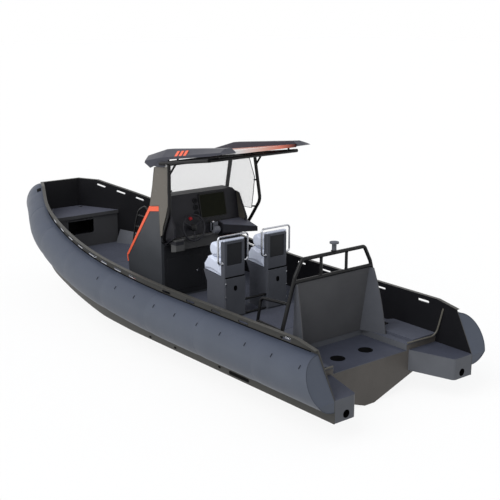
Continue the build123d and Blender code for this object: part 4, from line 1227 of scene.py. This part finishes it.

# Bow locker: near-black lining that is painted shade inside the opening, rubber rim, flush frame round the
# opening and lid hinges
locker_face = along_hull(0.8764) - 0.040
form = bmesh.new()
lining = rounded_outline(0.657, 0.257, 0.0385, 6)
lining_places = [locker_face + depth for depth in (0.0255, 0.12, 0.4)]
layers = skin(form, [carried(aft_frame(x, 0, 0.72), lining) for x in lining_places])
form.faces.new(layers[-1])
finish_piece("bow_locker_lining", form, locker_shade)
opening_y = 0.056
opening_z = 0.745
opening = rounded_outline(0.50, 0.262, 0.035, 6)
rim = carried(aft_frame(locker_face + 0.0235, opening_y, opening_z), opening)
swept_piece("bow_locker_rim", rim, circle(0.004, 8), to_stern, rubber_and_shade, True)
form = bmesh.new()
face = aft_frame(locker_face + 0.0247, 0, 0)
frame_half = 0.345
frame_low = 0.575
frame_high = 0.89
hole = [(across - opening_y, above + opening_z) for across, above in opening]
outer = [
    (-frame_half if across < -opening_y else frame_half, frame_low if above < opening_z else frame_high)
    for across, above in hole
]
near = carried(face, outer)
far = carried(face, hole)
lift = Vector((-0.003, 0, 0))
skin(form, [near, far, [point + lift for point in far], [point + lift for point in near], near])
bmesh.ops.remove_doubles(form, verts=form.verts, dist=weld_reach)
bmesh.ops.dissolve_degenerate(form, dist=weld_reach, edges=form.edges)
finish_piece("bow_locker_frame", form, locker_paint)
hinge = rounded_outline(0.05, 0.09, 0.01)
hinges = [(hinge, 0.004, Matrix.Translation((3.98, y, 0.9602)), 0.001) for y in (-0.3, 0.3)]
slab_piece("bow_seat_hinges", hinges, stainless)

# Grab rails that stand off the console's nose
grab_rail = [
    (0.075, 0.69, 1.628), (0.19, 0.69, 1.70), (0.375, 0.69, 1.60), (0.46, 0.69, 1.40), (0.565, 0.69, 1.015),
]
grab_posts = (
    [(0.151, 0.69, 1.53), (0.404, 0.69, 1.53)],
    [(0.295, 0.69, 1.35), (0.472, 0.69, 1.35)],
    [(0.40, 0.69, 1.218), (0.508, 0.69, 1.218)],
)
for side, stem in sides:
    form = bmesh.new()
    swept(form, rounded_path(flipped(grab_rail, side), 0.05, 6), circle(0.0125, 14), to_port)
    for post in grab_posts:
        swept(form, flipped(post, side), circle(0.01, 12), to_port)
    rail_piece = finish_piece("console_grab_rail_" + stem, form, tube_coat)
    if side > 0:
        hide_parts("console_handrail")

# Chart table lid on the sloping table top
table_rise = Vector((0.3507, 0, 0.09))
table_low = 1.36
table_aft = -0.7503


def on_table(x, y):
    """Point just above the chart table's sloping top."""
    return Vector((x, y, table_low + (x - table_aft) * table_rise.z / table_rise.x + 0.0003))


form = bmesh.new()
lid = [on_table(-0.52, -0.235), on_table(-0.735, -0.686), on_table(-0.415, -0.686), on_table(-0.415, -0.235)]
panel(form, lid, (0, 0, 0.008))
finish_piece("chart_table_lid", form, lid_paint)

# Ledge under the instruments, with a shelf at its port end
form = bmesh.new()
slab(form, rounded_outline(0.056, 0.68, 0.008), 0.036, Matrix.Translation((-0.4301, 0.14, 1.264)), 0.006)
slab(form, rounded_outline(0.126, 0.15, 0.008), 0.03, Matrix.Translation((-0.4655, 0.562, 1.2703)), 0.006)
ledge_skirt = [(-0.215, 1.262), (0.49, 1.262), (0.49, 1.10), (-0.215, 1.10)]
panel(form, [(-0.4025, y, z) for y, z in ledge_skirt], (0.006, 0, 0))
underside = [(-0.4025, -0.215, 1.10), (-0.4025, 0.49, 1.10), (-0.2812, 0.49, 1.06), (-0.2812, -0.215, 1.06)]
panel(form, underside, (0, 0, 0.006))
shelf_side = [(-0.5275, 1.262), (-0.5275, 1.13), (-0.4025, 1.10), (-0.4025, 1.262)]
panel(form, [(x, 0.487, z) for x, z in shelf_side], (0, 0.15, 0))
finish_piece("dash_ledge", form, ledge_paint)

# Light inner faces of the dash's cheeks
cheek_face = [(-0.300, 1.855), (-0.352, 1.812), (-0.534, 1.478), (-0.412, 1.36), (-0.3905, 1.36)]
for side, stem in sides:
    panel_piece("dash_cheek_face_" + stem, [(cheek_face, 0.6397, -0.002)], side, cheek_paint)

# Coving panels between the fore deck and the side walls
coving_start = 2.35
for side, stem in sides:
    form = bmesh.new()
    rings = []
    for x in (coving_start, 2.6, 2.85, 3.1, 3.29):
        y, heading = side_at(x)
        wall = Vector((x + sin(heading) * 0.002, (y - 0.002) * side, 0.535 + 0.06 * (x - coving_start)))
        foot = Vector((x + sin(heading) * 0.11, (y - 0.12) * side, deck_level + 0.001))
        rings.append([wall, foot, foot - Vector((0, 0, 0.0006)), wall + Vector((0, side * 0.001, -0.05))])
    capped(form, rings)
    finish_piece("bow_coving_" + stem, form, step_paint, crease=20)

# Camera at the photograph's viewing angle
camera_data = bpy.data.cameras.new("camera")
camera_data.lens = camera_lens
camera_data.sensor_width = 36
camera_data.clip_end = 200
camera = linked("camera", camera_data)
camera.location = camera_place
camera.rotation_euler = (radians(90 + camera_pitch), 0, radians(camera_yaw - 90))
scene.camera = camera

# Floor: a pale, mostly see-through sheet just under the keel
floor_mesh = bpy.data.meshes.new("floor")
floor_level = cad_box[0][2] - floor_gap
floor_corners = [(across, above, floor_level) for across, above in bar_section(floor_reach, floor_reach)]
floor_mesh.from_pydata(floor_corners, [], [(0, 1, 2, 3)])
floor = linked("floor", floor_mesh)
floor_material = bpy.data.materials.new("floor")
floor_material.use_nodes = True
floor_tree = floor_material.node_tree
floor_tree.nodes.clear()
floor_output = floor_tree.nodes.new("ShaderNodeOutputMaterial")
floor_mix = floor_tree.nodes.new("ShaderNodeMixShader")
floor_mix.inputs[0].default_value = floor_share
floor_clear = floor_tree.nodes.new("ShaderNodeBsdfTransparent")
floor_white = floor_tree.nodes.new("ShaderNodeBsdfDiffuse")
floor_white.inputs["Color"].default_value = (1, 1, 1, 1)
floor_tree.links.new(floor_clear.outputs[0], floor_mix.inputs[1])
floor_tree.links.new(floor_white.outputs[0], floor_mix.inputs[2])
floor_tree.links.new(floor_mix.outputs[0], floor_output.inputs["Surface"])
floor_mesh.materials.append(floor_material)

# World: white for what the camera sees and what gloss and glass show, soft light for the object
world = bpy.data.worlds.new("studio")
scene.world = world
world.use_nodes = True
world_tree = world.node_tree
world_tree.nodes.clear()
world_output = world_tree.nodes.new("ShaderNodeOutputWorld")
light_path = world_tree.nodes.new("ShaderNodeLightPath")
soft_light = world_tree.nodes.new("ShaderNodeBackground")
soft_light.inputs["Color"].default_value = soft_tint
soft_light.inputs["Strength"].default_value = soft_strength
seen_light = world_tree.nodes.new("ShaderNodeBackground")
seen_light.inputs["Strength"].default_value = 1.0
seen_light.inputs["Color"].default_value = (1, 1, 1, 1)
seen_rays = light_path.outputs["Is Camera Ray"]
for ray in ("Is Glossy Ray", "Is Transmission Ray"):
    either = world_tree.nodes.new("ShaderNodeMath")
    either.operation = "MAXIMUM"
    world_tree.links.new(seen_rays, either.inputs[0])
    world_tree.links.new(light_path.outputs[ray], either.inputs[1])
    seen_rays = either.outputs[0]
world_mix = world_tree.nodes.new("ShaderNodeMixShader")
world_tree.links.new(seen_rays, world_mix.inputs[0])
world_tree.links.new(soft_light.outputs[0], world_mix.inputs[1])
world_tree.links.new(seen_light.outputs[0], world_mix.inputs[2])
world_tree.links.new(world_mix.outputs[0], world_output.inputs["Surface"])

# Soft lamp on the port side
sun_data = bpy.data.lights.new("key", "SUN")
sun_data.energy = key_energy
sun_data.angle = key_spread
sun = linked("key", sun_data)
sun.rotation_euler = key_turn

scene.view_settings.view_transform = "Standard"
